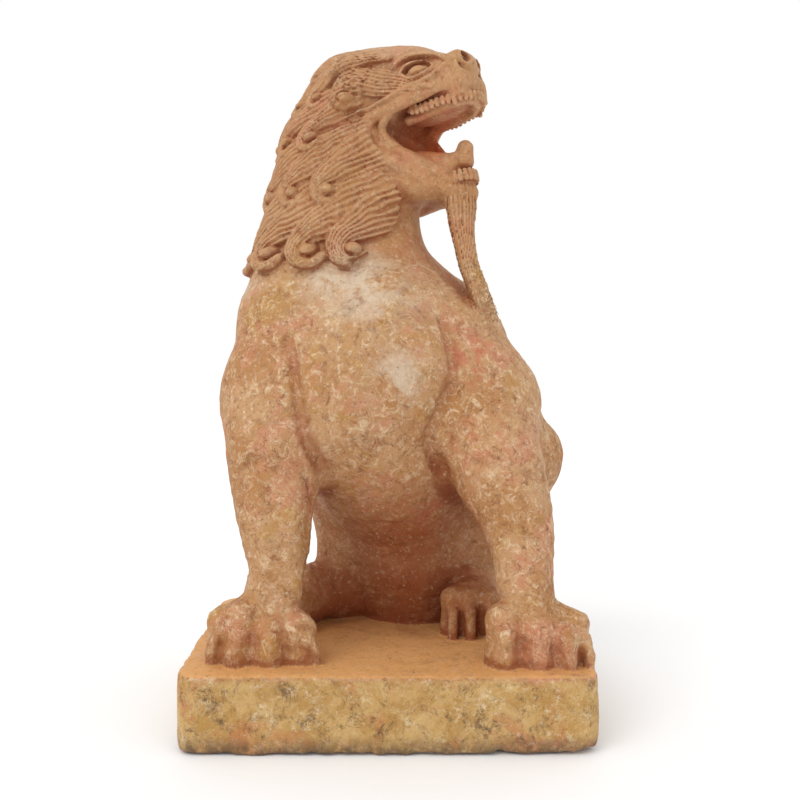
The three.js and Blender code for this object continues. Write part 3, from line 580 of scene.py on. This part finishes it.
def neck_axis(z):
    z = np.clip(z, NECK_FOOT, CROWN)
    return np.stack([np.interp(z, NECK_JOINTS[:, 2], NECK_JOINTS[:, a]) for a in range(3)], -1)


def neck(lion):
    nape = [(*neck_axis(z), radius) for z, radius in ((536, 104), (612, 92), (690, 79))]
    throat = limb((-2, -52, 648, 46), (0, -48, 600, 44), (0, -56, 556, 44))
    lion.add(limb(*nape, (*HEAD_CENTRE, 71)), seam=30)
    lion.add(throat, seam=24)


# The head is drawn in its own frame: forward, right, up from its centre


def oval(forward, right, up, radii):
    return ball(on_head(forward, right, up), radii, HEAD_AXES)


def bone(*joints):
    return limb(*((*on_head(f, r, u), radius) for f, r, u, radius in joints))


# The profiles of the upper jaw and of the open mouth: forward, up
UPPER_JAW = [(30, 16), (124, 17), (141, 6), (144, -42), (60, -32), (30, -40)]
OPENING = [(38, -46), (62, -33), (92, -37), (170, -46), (176, -128)]
OPENING += [(126, -128), (104, -120), (84, -103), (54, -76)]

# Along each band: forward, right, up in the head's frame, half the width, relief
LIP = (
    (124, 36, -22, 9, 4), (110, 43, -22, 11, 7), (92, 48, -24, 12, 8),
    (66, 54, -27, 12, 8), (44, 62, -33, 10, 9), (27, 69, -45, 9, 9),
    (24, 68, -67, 9, 9), (35, 60, -88, 9, 9), (59, 49, -110, 8, 9),
    (75, 36, -129, 8, 8), (93, 25, -142, 8, 7), (108, 13, -146, 7, 7),
    (114, 0, -147, 7, 7),
)
LIP_FOLD = (
    (62, 55, -34, 5, 5), (44, 60, -48, 5, 6), (42, 59, -66, 6, 6),
    (56, 51, -86, 6, 6), (80, 39, -112, 5, 6), (100, 25, -133, 5, 5),
)


def band(lion, stations, side, seam):
    """A raised band on one side of the head, facing away from the middle of the mouth."""
    rows = smooth_path(np.array(stations) * (1, side, 1, 1, 1))
    at = on_head(0, 0, 0) + rows[:, :3] @ HEAD_AXES
    lion.add(strip(at, rows[:, 3], rows[:, 4], at - on_head(40, 0, -30)), seam)


def skull(lion):
    lion.add(oval(0, 0, 2, (85, 78, 71)), seam=20)
    forehead, muzzle = oval(58, 0, 12, (58, 54, 44)), oval(100, 0, -8, (46, 44, 32))
    lower_jaw = bone((12, 0, -52, 60), (52, 0, -96, 42), (84, 0, -116, 28), (102, 0, -134, 17))
    lion.add(forehead, seam=24)
    lion.add(muzzle, seam=16)
    lion.add(slab(HEAD_CENTRE, UPPER_JAW, (-33, 33), HEAD_AXES), seam=14)
    lion.add(lower_jaw, seam=18)
    for side in (1, -1):
        cheekbone = bone((26, 40 * side, -30, 22), (70, 34 * side, -4, 18), (112, 26 * side, -10, 16))
        cheek = bone((4, 38 * side, -60, 36), (30, 30 * side, -92, 30), (62, 24 * side, -112, 22))
        jawbone = bone((14, 44 * side, -116, 24), (52, 36 * side, -125, 18), (84, 20 * side, -138, 12))
        mouth_corner = bone(
            (26, 40 * side, -36, 22), (34, 38 * side, -66, 22),
            (60, 33 * side, -96, 17), (90, 20 * side, -124, 13),
        )
        lion.add(cheekbone, seam=14)
        lion.add(cheek, seam=20)
        lion.add(jawbone, seam=14)
        lion.add(mouth_corner, seam=14)


def open_mouth(lion):
    """The opening, cut deeper on the near side, with the throat behind it and the tongue in it."""
    far_opening = [(max(f, 90), u) for f, u in OPENING]
    lion.carve(slab(HEAD_CENTRE, OPENING, (-26, 80), HEAD_AXES), seam=8)
    lion.carve(slab(HEAD_CENTRE, far_opening, (-80, -20), HEAD_AXES), seam=8)
    lion.carve(oval(50, 6, -62, (26, 34, 20)), seam=8)
    tongue = bone((34, 4, -92, 24), (88, 0, -110, 21), (110, 0, -107, 14), (117, 0, -93, 10))
    lion.add(tongue, seam=6)


def features(lion):
    """The nose, and on each side the lips, the eye, the nostril and the hole of the ear."""
    lion.add(oval(136, 0, 8, (15, 22, 14)), seam=8)
    for side in (1, -1):
        lion.add(oval(126, 20 * side, -18, (21, 17, 17)), seam=8)
        band(lion, LIP, side, seam=3)
        band(lion, LIP_FOLD, side, seam=2)
        lion.carve(oval(97, 52 * side, 3, (20, 8, 10)), seam=3)
        lion.add(oval(96, 44 * side, 1, (15, 11, 7.5)), seam=1)
        lion.add(oval(136, 17 * side, 9, (14, 12, 11)), seam=6)
        lion.carve(oval(145, 15 * side, 9, (11, 8, 6.5)), seam=3)
        nose_crease = [(126, 27, 14), (134, 28, 4), (142, 24, -5), (150, 12, -7), (152, 0, -7)]
        lion.carve(bone(*((f, r * side, u, 1.5) for f, r, u in nose_crease)), seam=6)
        lion.carve(oval(66, 57 * side, 30, (7, 8, 4.5)), seam=3)


# The near half of each row of teeth, from its back end to the middle: forward, right, up
UPPER_ROW = ((74, 41, -38), (90, 39, -41), (110, 36, -40), (128, 30, -41), (141, 18, -39), (147, 0, -38))
LOWER_ROW = ((98, 24, -132), (110, 18, -131), (118, 8, -130), (120, 0, -130))
PALATE_RIM = ((64, 30, -44), (100, 28, -44), (124, 24, -43), (137, 12, -41), (140, 0, -40))


def row_of_teeth(lion, half_row, spacing, radius, length, way, canine=0):
    """Teeth side by side on a narrow ridge of gum. They point up or down by way, 1 or -1, and lean out
    a little. The canine is longer by what is given."""
    gum, root_depth, lean, canine_place = 4.2, 3, 2.5, 128
    half_row = smooth_path(half_row, 6)
    whole = np.concatenate([half_row, half_row[-2::-1] * (1, -1, 1)])
    lion.add(bone(*((*p, gum) for p in whole[::3])), seam=3)
    along = np.concatenate([[0], np.cumsum(np.linalg.norm(np.diff(whole, axis=0), axis=1))])
    for at in np.arange(spacing / 2, along[-1], spacing):
        f, r, u = (np.interp(at, along, whole[:, a]) for a in range(3))
        longer = canine if abs(f - canine_place) < 4 else 0
        out = unit((max(f - 96, 0) * 0.8, r, 0)) * lean
        root = (f + out[0], r + out[1], u - root_depth * way)
        tip = (f + out[0], r + out[1], u + (length + longer) * way)
        lion.add(bone((*root, radius), (*tip, radius * 0.85)), seam=0.6)


def teeth(lion):
    rim = [*PALATE_RIM, *((f, -r, u) for f, r, u in PALATE_RIM[-2::-1])]
    lion.add(bone(*((*p, 6.5) for p in rim)), seam=3)
    lion.add(oval(94, 0, -36, (46, 30, 10)), seam=6)
    row_of_teeth(lion, UPPER_ROW, spacing=6.6, radius=3.4, length=4, way=-1, canine=3)
    row_of_teeth(lion, LOWER_ROW, spacing=6.0, radius=3.2, length=7, way=1)


# Down the beard: x, y, z, half the width, thickness
BEARD = (
    (90, -98, 628, 22, 15), (92, -102, 609, 21, 14), (92, -105, 586, 17, 13),
    (95, -109, 563, 14, 12), (99, -113, 540, 13, 12), (106, -117, 517, 13, 12),
    (115, -117, 494, 14, 11), (122, -110, 472, 18, 6),
)


def beard(lion):
    rows = np.array(BEARD)
    facing = [(0.35, -0.94, 0)] * len(rows)
    lion.add(strip(rows[:, :3], rows[:, 3], rows[:, 4], facing, strands=9, depth=2.6), seam=7)


# The side of the head, as locks and lids: forward, up, half the width, height
CHEEK_LOCK = (
    (112, -24, 3, 3), (92, -16, 8, 5), (72, -8, 15, 6),
    (52, 0, 19, 8), (34, 8, 18, 10), (17, 9, 14, 11),
    (6, -2, 10, 11), (9, -17, 7, 10), (20, -20, 5, 9),
)
EAR = ((66, 29, 6, 9), (52, 36, 10, 11), (34, 38, 13, 12), (16, 35, 12, 11), (2, 26, 8, 9), (-6, 16, 4, 5))
BROW = ((70, 13, 3, 3), (80, 20, 5, 7), (94, 24, 6, 8), (110, 21, 6, 8), (124, 14, 5, 5), (134, 4, 4, 2))
UPPER_LID = ((78, 4, 2.5, 4), (86, 11, 3, 6), (98, 13, 3, 6), (110, 9, 2.5, 5), (117, 3, 2, 3))
LOWER_LID = ((78, 4, 2.5, 4), (86, -5, 3, 5), (98, -8, 3.5, 6), (110, -5, 3, 5), (117, 3, 2, 3))
CHEEK = ((10, -32, 3, 1), (28, -29, 4, 4), (52, -24, 4, 5), (76, -17, 5, 5), (100, -14, 5, 5))
CHEEK += ((120, -8, 4, 4), (134, 4, 4, 2))


def face(lion):
    """The relief on both sides of the head. It fades out towards the middle of the face."""
    side = Relief((-30, -165), (150, 60))
    side.lock(CHEEK_LOCK, strands=8, depth=2.4)
    side.knob(19, -13, radius=8, height=17)
    side.lock(EAR, strands=6, depth=2.4)
    for line in (BROW, UPPER_LID, LOWER_LID, CHEEK):
        side.lock(line, edge=1.0)
    centre = np.array(HEAD_CENTRE)
    middle, fade = 22, 14

    def height(p):
        f, r, u = ((p - centre) @ HEAD_AXES.T).T
        return side(f, u) * np.clip((np.abs(r) - middle) / fade, 0, 1)

    lion.raise_skin((-130, -180, 585), (160, 130, 850), height)


# A lock of the mane on the skin: how far back and how far up each station lies from the curl's middle,
# half the width and the height
LOCK = np.array(
    [
        (-96, 70, 25, 1.5), (-72, 62, 29, 3.5), (-48, 53, 30, 6), (-25, 41, 27, 9.5), (-6, 28, 21, 12),
        (8, 14, 14, 13.5), (12, 0, 9.5, 14), (7, -12, 8, 13.5), (-5, -15, 7, 12), (-14, -7, 5.5, 9),
    ]
)
# Height and size of each row of curls, and where they stand, in degrees back from the face
MANE = (
    (784, 0.6, (118, 152)),
    (750, 0.75, (100, 127, 156)),
    (699, 0.9, (86, 113, 140, 168)),
    (630, 1.0, (64, 91, 119, 147, 175)),
    (556, 1.15, (46, 72, 101, 129, 157)),
)
# Where the mane begins: heights, and degrees back from the face
HAIRLINE = (
    (539, 552, 568, 584, 602, 620, 640, 653, 677, 708, 725, 760, 800),
    (45, 34, 23, 15, 10, 14, 20, 23, 28, 40, 48, 62, 70),
)
HAIR_RADIUS = 92  # of the neck, for turning degrees round it into lengths
CROWN_RADIUS = 80  # of the top of the head, for turning angles over it into lengths
CROWN_SPAN = 105  # how far over the top of the head the mane reaches
FAR_HAIRLINE = 50  # degrees that the far side's mane stays further back
FAR_SPREAD = 0.85  # of the near side's distances between locks
NAPE = ((105, 140), (1, 0.62))  # degrees back from the face, and how high the locks stand there


def lock_of(relief, middle, z, size):
    """One lock with its curl. Smaller locks have fewer strands, and stand higher for their size."""
    shape = LOCK * (size, size, size, max(size, 0.95) * 1.1) + (middle, z, 0, 0)
    strands = 8 if size > 0.95 else 6 if size > 0.8 else 4
    relief.lock(shape, strands=strands, depth=2.5 * size)
    relief.knob(middle - size, z - size, radius=8.5 * size, height=13 + 4 * size)


def mane(lion):
    """The mane's relief, laid round the neck by angle and height, with a map for each side."""
    arc = math.radians(HAIR_RADIUS)
    sides = []
    for spacing in (1, FAR_SPREAD):
        relief = Relief((-60, 515), (185 * arc + 60, 880))
        for z, size, turns in MANE[::-1]:
            for turn in (*turns, 2 * 180 - turns[-1]):
                lock_of(relief, (180 - (180 - turn) * spacing) * arc, z, size)
        sides.append(relief)
    top = neck_axis(CROWN)[2] + CROWN_SPAN
    front_fade, top_fade = 7, 20

    def height(p):
        level = p[:, 2].astype(float)
        offset = p[:, :2] - neck_axis(level)[:, :2]
        tilt = np.arctan2(np.maximum(level - CROWN, 0), np.hypot(*offset.T))
        level = np.minimum(level, CROWN) + CROWN_RADIUS * tilt
        turn = -np.degrees(np.arctan2(offset[:, 1], offset[:, 0]) + HEAD_TURN)
        turn = (turn + 180) % 360 - 180
        back = np.abs(turn)
        near = sides[0](back * arc, level)
        far = sides[1](back * arc, level)
        edge = np.interp(level, *HAIRLINE) + np.where(turn > 0, 0, FAR_HAIRLINE)
        shown = np.clip((back - edge) * arc / front_fade, 0, 1) * np.clip((top - level) / top_fade, 0, 1)
        return np.where(turn > 0, near, far) * shown * np.interp(back, *NAPE)

    lion.raise_skin((-200, -150, 515), (120, 130, 850), height)


lion = Sculpture()
torso(lion)
forelegs(lion)
for wrist, *toes in PAWS.values():
    paw(lion, wrist, toes)
hind_legs(lion)
tail(lion)
neck(lion)
skull(lion)
open_mouth(lion)
features(lion)
face(lion)
mane(lion)
teeth(lion)
beard(lion)


def plinth_shape():
    """A slab with rounded corners whose faces are uneven and whose edges are worn and chipped."""
    halves = (PLINTH["width"] / 2, PLINTH["depth"] / 2)
    middle = PLINTH["height"] / 2
    edge = 6
    wear_reach = 12  # how far in from an edge the wear goes
    foot = 4  # below this height the slab keeps its size, to stand flat
    uneven, rough, chips = Noise(1, 34), Noise(2, 9), Noise(3, 31)

    def distance(p):
        back = p[:, 1] + SETBACK
        corner = np.where(back > 0, PLINTH["back_corner"], PLINTH["corner"])
        x = np.abs(p[:, 0]) - halves[0] + corner
        y = np.abs(back) - halves[1] + corner
        plan = np.hypot(np.maximum(x, 0), np.maximum(y, 0)) + np.minimum(np.maximum(x, y), 0) - corner
        a = plan + edge
        b = np.abs(p[:, 2] - middle) - middle + edge
        d = np.hypot(np.maximum(a, 0), np.maximum(b, 0)) + np.minimum(np.maximum(a, b), 0) - edge
        skin = 0.6 * (1 + uneven(p)) + 0.3 * (1 + rough(p))
        worn = np.clip(1 + np.minimum(a, b) / wear_reach, 0, 1) * np.where(p[:, 2] < middle, 1, 0.3)
        chipped = np.maximum(chips(p), 0) * 3 + rough(p) + 1
        return d + skin * np.where(p[:, 2] < foot, 0.3, 1) + worn * chipped

    return Shape([(0, -SETBACK, middle)], [max(halves) * 1.42], distance)


lion.add(plinth_shape(), seam=4)


def lines(*stops):
    """Grid lines from stop to stop, each stretch with its own spacing: start, spacing, end, and so on."""
    out = [np.array([stops[0]], float)]
    for spacing, end in zip(stops[1::2], stops[2::2]):
        start = out[-1][-1]
        count = math.ceil((end - start) / spacing)
        out.append(np.linspace(start, end, count + 1)[1:])
    return np.concatenate(out)


# The grid reaches a little past the plinth. Its lines are closest at the head and mane, and furthest apart
# near the plinth's edges
fine, middling, coarse = ((1.6, 2.4, 3.0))
margin = 6
half_width = PLINTH["width"] / 2 + margin
front = -PLINTH["depth"] / 2 - SETBACK - margin
back = PLINTH["depth"] / 2 - SETBACK + margin + 1
grid = (
    lines(-half_width, coarse, -176, fine, 140, coarse, half_width),
    lines(front, coarse, -150, fine, 112, coarse, back),
    lines(-margin, middling, 525, fine, 848),
)
points, quads = surface_net(lion.sample(grid), grid)


def corner_sums(values, corners, count):
    """Adds up a value of each face at each of its corners."""
    return sum(np.stack([np.bincount(c, v, count) for v in values.T], 1) for c in corners.T)


def outward(points, faces):
    """The direction out of the surface at each point, for faces of three or four corners."""
    across = points[faces[:, 2]] - points[faces[:, 0]]
    other = points[faces[:, -1]] - points[faces[:, 1]]
    total = corner_sums(np.cross(across, other), faces, len(points))
    return total / np.maximum(np.linalg.norm(total, axis=1), 1e-9)[:, None]


def weathering(points):
    """How far the skin is off its drawn place: it is uneven, and here and there small flakes are gone. The
    head and mane are worn less, and the plinth has its own wear."""
    uneven = 0.6 * Noise(4, 26)(points) + 0.3 * Noise(5, 9)(points) + 0.16 * Noise(6, 4.2)(points)
    flakes = np.clip((Noise(7, 13)(points) + 0.35 * Noise(8, 5)(points) - 0.5) * 4, 0, 1) * 0.8
    share = np.clip((points[:, 2] - GROUND + 2) / 8, 0, 1) * np.where(points[:, 2] > MANE_END - 5, 0.6, 1)
    return (uneven - flakes) * share


points = points + outward(points, quads) * weathering(points)[:, None]


def mesh_of(name, points, faces):
    mesh = bpy.data.meshes.new(name)
    mesh.vertices.add(len(points))
    mesh.vertices.foreach_set("co", ((points + (0, SETBACK, 0)) * MM).astype(np.float32).ravel())
    mesh.loops.add(faces.size)
    mesh.loops.foreach_set("vertex_index", faces.ravel().astype(np.int32))
    mesh.polygons.add(len(faces))
    mesh.polygons.foreach_set("loop_start", np.arange(0, faces.size, faces.shape[1], dtype=np.int32))
    mesh.update(calc_edges=True)
    mesh.validate()
    mesh.shade_smooth()
    return mesh


def read(items, key, width, kind):
    values = np.empty(len(items) * width, kind)
    items.foreach_get(key, values)
    return values.reshape(-1, width)


def thinned_mesh(points, quads):
    """One mesh of the whole carving with fewer triangles where it is smooth: points, triangles, edges."""
    whole = bpy.data.objects.new("whole", mesh_of("whole", points, quads))
    bpy.context.scene.collection.objects.link(whole)
    if len(quads) * 2 > TRIANGLES:
        thin = whole.modifiers.new("thin", "DECIMATE")
        thin.ratio = TRIANGLES / (2 * len(quads))
    mesh = bpy.data.meshes.new_from_object(whole.evaluated_get(bpy.context.evaluated_depsgraph_get()))
    mesh.calc_loop_triangles()
    points = read(mesh.vertices, "co", 3, np.float32) / MM - (0, SETBACK, 0)
    faces = read(mesh.loop_triangles, "vertices", 3, np.int32)
    edges = read(mesh.edges, "vertices", 2, np.int32)
    bpy.data.objects.remove(whole)
    bpy.data.meshes.remove(mesh)
    return points, faces, edges


points, faces, edges = thinned_mesh(points, quads)
normals = outward(points, faces)

# What the marble looks like depends on where it is: masks with a value at each point
ends = np.concatenate([edges, edges[:, ::-1]])
neighbours = np.maximum(np.bincount(ends[:, 0], minlength=len(points)), 1)


def over_neighbours(values):
    """The mean of the values of the edges that start from each point."""
    return np.bincount(ends[:, 0], values, len(points)) / neighbours


def evened(values):
    return (values + over_neighbours(values[ends[:, 1]])) / 2


def hollow():
    """How the surface bends from point to point: above 0 in grooves, below 0 on ridges."""
    step = points[ends[:, 1]] - points[ends[:, 0]]
    return over_neighbours((normals[ends[:, 0]] * step).sum(1) / np.maximum((step**2).sum(1), 1e-6))


def shelter(height):
    """How far other stone closes in on a place within a height above it, from 0 to 1."""
    return np.clip(1 - lion.distances(points + normals * height, height + 2) / height, 0, 1)


def patch(*places):
    """Soft round patches: x, y, z, radius."""
    total = np.zeros(len(points))
    for x, y, z, radius in places:
        total = np.maximum(total, np.exp(-((points - (x, y, z)) ** 2).sum(1) / radius**2))
    return total


# Patches of colour, and of painted shade in the hollows under the body: x, y, z, radius
WORN_PALE = ((-19, -160, 509, 52), (-70, -140, 512, 26), (9, -180, 404, 32))
WORN_PALE += ((-150, -60, 505, 30), (70, 30, 690, 60))
FAINTLY_PALE = ((10, -20, 840, 70), (112, -86, 800, 20))
# Painted shade: a dark red-brown in the hollow under the body, between the legs and by the hind feet
SHADED_HOLLOWS = ((20, -60, 215, 84), (20, -30, 140, 92), (92, -140, 220, 32))
SHADED_HOLLOWS += ((104, -60, 115, 46), (-66, -10, 120, 60))
RED_MOUTH = ((62, -50, 690, 36), (40, -30, 680, 34))
RED_TRACES = ((-103, -120, 402, 30), (22, -172, 425, 18), (90, -140, 428, 34), (50, -90, 250, 46))
RED_TRACES += ((110, -150, 330, 34), (20, -60, 560, 40), (60, -90, 700, 46))
RED_TRACES += ((0, 80, 420, 60), (-90, 40, 360, 40), (150, 20, 260, 40))
CLOSE, WIDE = 8, 32  # millimetres: heights for the shelter of narrow grooves and of large hollows

bend = evened(hollow())
z = points[:, 2]
masks = {
    "groove": np.clip(bend * 4.2, 0, 1),
    "ridge": np.clip(-bend * 3.2, 0, 1),
    # How closely other stone closes in on each place: painted shade darkens the colour there, and the stone
    # is rougher there
    "deep": evened(0.5 * shelter(CLOSE) + 0.5 * shelter(WIDE)),
    "plinth_side": np.clip(1 - np.abs(normals[:, 2]) * 2.2, 0, 1) * (z < GROUND - 1),
    # Faces that look up on the plinth's top: their colour gets the top's own tan, and painted light where the
    # lion's shadow falls
    "plinth_top": np.clip((normals[:, 2] - 0.7) * 5, 0, 1) * (z < GROUND + 4),
    "hair": np.clip((z - MANE_END) / 10, 0, 1),
    "pale": patch(*WORN_PALE) + 0.6 * patch(*FAINTLY_PALE),
    "inner": patch(*SHADED_HOLLOWS),
    "mouth": patch(*RED_MOUTH),
    "red": patch(*RED_TRACES),
}

# The marble


def srgb(r, g, b, light=1.2):
    """The colour of stone that looks like this under the studio's light."""
    return (*(((v / 255 + 0.055) / 1.055) ** 2.4 / light for v in (r, g, b)), 1)


marble = bpy.data.materials.new("weathered_marble")
marble.use_nodes = True
tree = marble.node_tree


def node(kind, inputs=None, **settings):
    made = tree.nodes.new(kind)
    for name, value in settings.items():
        setattr(made, name, value)
    for key, value in (inputs or {}).items():
        if isinstance(value, bpy.types.NodeSocket):
            tree.links.new(value, made.inputs[key])
        else:
            made.inputs[key].default_value = value
    return made


place = node("ShaderNodeTexCoord").outputs["Object"]


def mask(name):
    return node("ShaderNodeAttribute", attribute_name=name).outputs["Fac"]


def grain(scale, detail=4.0, roughness=0.6, distortion=0.0, shift=0.0):
    at = node("ShaderNodeMapping", {"Vector": place, "Location": (shift, 1.7 * shift, -shift)}).outputs[0]
    settings = {"Scale": scale, "Detail": detail, "Roughness": roughness, "Distortion": distortion}
    return node("ShaderNodeTexNoise", {"Vector": at, **settings}).outputs["Fac"]


def between(value, low, high, most=1.0):
    """Rises from 0 to most while the value goes from low to high."""
    settings = {"Value": value, "From Min": low, "From Max": high, "To Max": most}
    return node("ShaderNodeMapRange", settings, interpolation_type="SMOOTHSTEP").outputs[0]


def maths(operation, a, b, clamp=False):
    return node("ShaderNodeMath", {0: a, 1: b}, operation=operation, use_clamp=clamp).outputs[0]


def times(*values):
    out = values[0]
    for value in values[1:]:
        out = maths("MULTIPLY", out, value)
    return out


def plus(*values):
    out = values[0]
    for value in values[1:]:
        out = maths("ADD", out, value, True)
    return out


def over(under, colour, share):
    """One colour laid over another, by a share from 0 to 1."""
    factor, first, second, result = 0, 6, 7, 2  # the mix node's sockets for colours
    made = node("ShaderNodeMix", {factor: share, first: under, second: colour}, data_type="RGBA")
    return made.outputs[result]


def mottled(hair):
    """Large soft patches, and a finer mottling of tan, pink, ochre, cream and brown over them."""
    skin = maths("SUBTRACT", 1.0, hair)
    colour = over(srgb(202, 155, 108), srgb(184, 130, 78), between(grain(9, 6, 0.62, 0.4), 0.4, 0.62))
    colour = over(colour, srgb(206, 134, 102), between(grain(16, 7, 0.7, 0.5, 3.1), 0.5, 0.64, 0.65))
    colour = over(colour, srgb(188, 138, 66), between(grain(13, 7, 0.7, 0.8, 5.7), 0.52, 0.64, 0.65))
    cream = between(grain(84, 9, 0.85, 0.8, 2.2), 0.49, 0.64, 0.85)
    colour = over(colour, srgb(240, 212, 174), times(cream, plus(skin, 0.45)))
    colour = over(colour, srgb(134, 78, 42), between(grain(62, 9, 0.86, 0.8, 6.9), 0.5, 0.64, 0.8))
    return over(colour, srgb(190, 136, 90), times(hair, 0.35))


def ochre():
    """Yellow ochre with pale and brown stains, on the plinth's sides."""
    colour = over(srgb(212, 174, 112), srgb(190, 146, 78), between(grain(24, 8, 0.75, 0.6, 2.3), 0.42, 0.6))
    colour = over(colour, srgb(234, 212, 172), between(grain(46, 9, 0.82, 0.3, 8.3), 0.52, 0.64, 0.9))
    colour = over(colour, srgb(198, 122, 72), between(grain(13, 7, 0.65, 0.9, 6.1), 0.54, 0.66, 0.65))
    return over(colour, srgb(104, 76, 48), between(grain(40, 9, 0.88, 0.5, 4.4), 0.5, 0.62, 0.9))


def red_and_painted_shade(colour, hair, deep, ridge, front):
    """Red traces in the open; red-brown in the grooves, most on the mane, partly red colour left in them and
    partly painted shade; paler ridges on the mane; painted shade in dark red-brown in the hollows under the
    body and wherever other stone closes in; and red in the mouth.
    """
    traces = times(mask("red"), between(grain(52, 7, 0.74, 0.3, 9.1), 0.44, 0.62, 0.85))
    colour = over(colour, srgb(198, 96, 72), traces)
    # Red-brown in the grooves, strongest on the mane: partly red colour left in them and partly painted shade
    # between the locks
    groove_red_and_shade = between(grain(26, 4, 0.6, 0, 2.9), 0.25, 0.55)
    colour = over(colour, srgb(156, 76, 48), times(mask("groove"), groove_red_and_shade, plus(times(hair, 0.8), 0.2)))
    colour = over(colour, srgb(232, 192, 150), times(ridge, hair, 0.55))
    on_lion = maths("SUBTRACT", 1.0, front)
    # Painted shade: a dark red-brown in the hollows under the body and wherever other stone closes in
    sheltered = plus(times(mask("inner"), 1.1), times(between(deep, 0.2, 0.62, 0.8), on_lion))
    blotched = between(grain(20, 7, 0.7, 0, 5.2), 0.15, 0.5, 0.9)
    colour = over(colour, srgb(152, 78, 40), times(sheltered, blotched))
    return over(colour, srgb(214, 104, 50), times(mask("mouth"), 0.9))


def dirt(colour, ridge):
    """A grey crust on the ridges, dark blots, dark and light specks, and a dark foot to the plinth."""
    crust = times(ridge, between(grain(34, 8, 0.78, 0.2, 6.6), 0.46, 0.62, 0.6))
    colour = over(colour, srgb(152, 138, 110), crust)
    broken = between(grain(95, 7, 0.8), 0.4, 0.6)
    blots = times(between(grain(15, 8, 0.8, 0.6, 11.3), 0.54, 0.68, 0.6), broken)
    colour = over(colour, srgb(126, 96, 70), blots)
    colour = over(colour, srgb(108, 70, 46), between(grain(230, 6, 0.8, 0, 3.3), 0.56, 0.66, 0.7))
    colour = over(colour, srgb(226, 200, 166), between(grain(170, 7, 0.8, 0, 7.3), 0.55, 0.66, 0.6))
    at_height = node("ShaderNodeSeparateXYZ", {0: place}).outputs[2]
    foot = times(between(at_height, 0.026, 0.0), between(grain(44, 8, 0.8), 0.34, 0.56))
    return over(colour, srgb(96, 76, 54), times(foot, 0.85))


def weathered_marble():
    hair, deep, ridge, front = (mask(name) for name in ("hair", "deep", "ridge", "plinth_side"))
    colour = over(mottled(hair), ochre(), front)
    worn = times(mask("pale"), between(grain(24, 8, 0.75, 0.4, 1.3), 0.38, 0.6, 0.95))
    colour = over(colour, srgb(224, 204, 178), worn)
    colour = red_and_painted_shade(colour, hair, deep, ridge, front)
    # The plinth's top: its own orange tan, made lighter as painted light where the lion's shadow falls
    top_tone_and_painted_light = between(grain(18, 8, 0.75, 0.3, 4.2), 0.2, 0.5, 0.85)
    colour = over(colour, srgb(238, 176, 108), times(mask("plinth_top"), top_tone_and_painted_light))
    colour = dirt(colour, ridge)
    roughness = plus(between(grain(30, 6, 0.7, 0, 1.1), 0.35, 0.7, 0.2), times(deep, 0.12), 0.6)
    pits = between(grain(120, 5, 0.7, 0, 4.9), 0.6, 0.5)
    lumps = maths("ADD", times(grain(70, 6, 0.65), 0.8), times(pits, 0.35))
    height = maths("ADD", times(grain(420, 6, 0.75), 0.35), lumps)
    bump = node("ShaderNodeBump", {"Height": height, "Strength": 0.55, "Distance": 0.0011})
    shader = tree.nodes["Principled BSDF"]
    tree.links.new(colour, shader.inputs["Base Color"])
    tree.links.new(roughness, shader.inputs["Roughness"])
    tree.links.new(bump.outputs[0], shader.inputs["Normal"])
    shader.inputs["Specular IOR Level"].default_value = 0.35


weathered_marble()

# The pieces: the head with its mane, the body, and the plinth
middle_height = points[faces].mean(1)[:, 2]
pieces = {
    "head_and_mane": middle_height > MANE_END,
    "body_and_legs": (middle_height <= MANE_END) & (middle_height > GROUND + 1),
    "plinth": middle_height <= GROUND + 1,
}
for name, chosen in pieces.items():
    used, corners = np.unique(faces[chosen], return_inverse=True)
    mesh = mesh_of(name, points[used], corners.reshape(-1, 3))
    mesh.normals_split_custom_set_from_vertices(normals[used].astype(np.float32))
    for key, values in masks.items():
        mesh.attributes.new(key, "FLOAT", "POINT").data.foreach_set("value", values[used].astype(np.float32))
    mesh.materials.append(marble)
    piece = bpy.data.objects.new(name, mesh)
    bpy.context.scene.collection.objects.link(piece)
    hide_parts("lion_on_plinth")
    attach(piece, "root")

# The studio: a white floor in a white world, a soft sun from the upper left, and the photo's point of view


def stage_floor():
    bpy.ops.mesh.primitive_plane_add(size=60, location=(0, 0, -0.0005))
    floor = bpy.context.object
    floor.name = "floor"
    white = bpy.data.materials.new("pale_floor")
    white.use_nodes = True
    shader = white.node_tree.nodes["Principled BSDF"]
    shader.inputs["Base Color"].default_value = (0.93, 0.93, 0.93, 1)
    shader.inputs["Roughness"].default_value = 1.0
    floor.data.materials.append(white)


def white_world():
    world = bpy.data.worlds.new("studio")
    bpy.context.scene.world = world
    world.use_nodes = True
    background = world.node_tree.nodes["Background"]
    background.inputs["Color"].default_value = (1, 1, 1, 1)
    background.inputs["Strength"].default_value = 1.0


def soft_sun():
    sun = bpy.data.lights.new("key", "SUN")
    sun.energy = 0.9
    sun.angle = math.radians(35)
    key = bpy.data.objects.new("key", sun)
    key.rotation_euler = Vector((-0.75, -0.8, 1.1)).to_track_quat("Z", "Y").to_euler()
    bpy.context.scene.collection.objects.link(key)


def set_camera():
    lens = bpy.data.cameras.new("camera")
    lens.sensor_width = 36
    lens.lens = CAMERA["lens"]
    lens.shift_x, lens.shift_y = CAMERA["shift"]
    camera = bpy.data.objects.new("camera", lens)
    camera.location = (CAMERA["x"] * MM, (SETBACK - CAMERA["distance"]) * MM, CAMERA["height"] * MM)
    camera.rotation_euler = (math.pi / 2, 0, 0)
    bpy.context.scene.collection.objects.link(camera)
    bpy.context.scene.camera = camera
    bpy.context.scene.view_settings.view_transform = "Standard"


stage_floor()
white_world()
soft_sun()
set_camera()
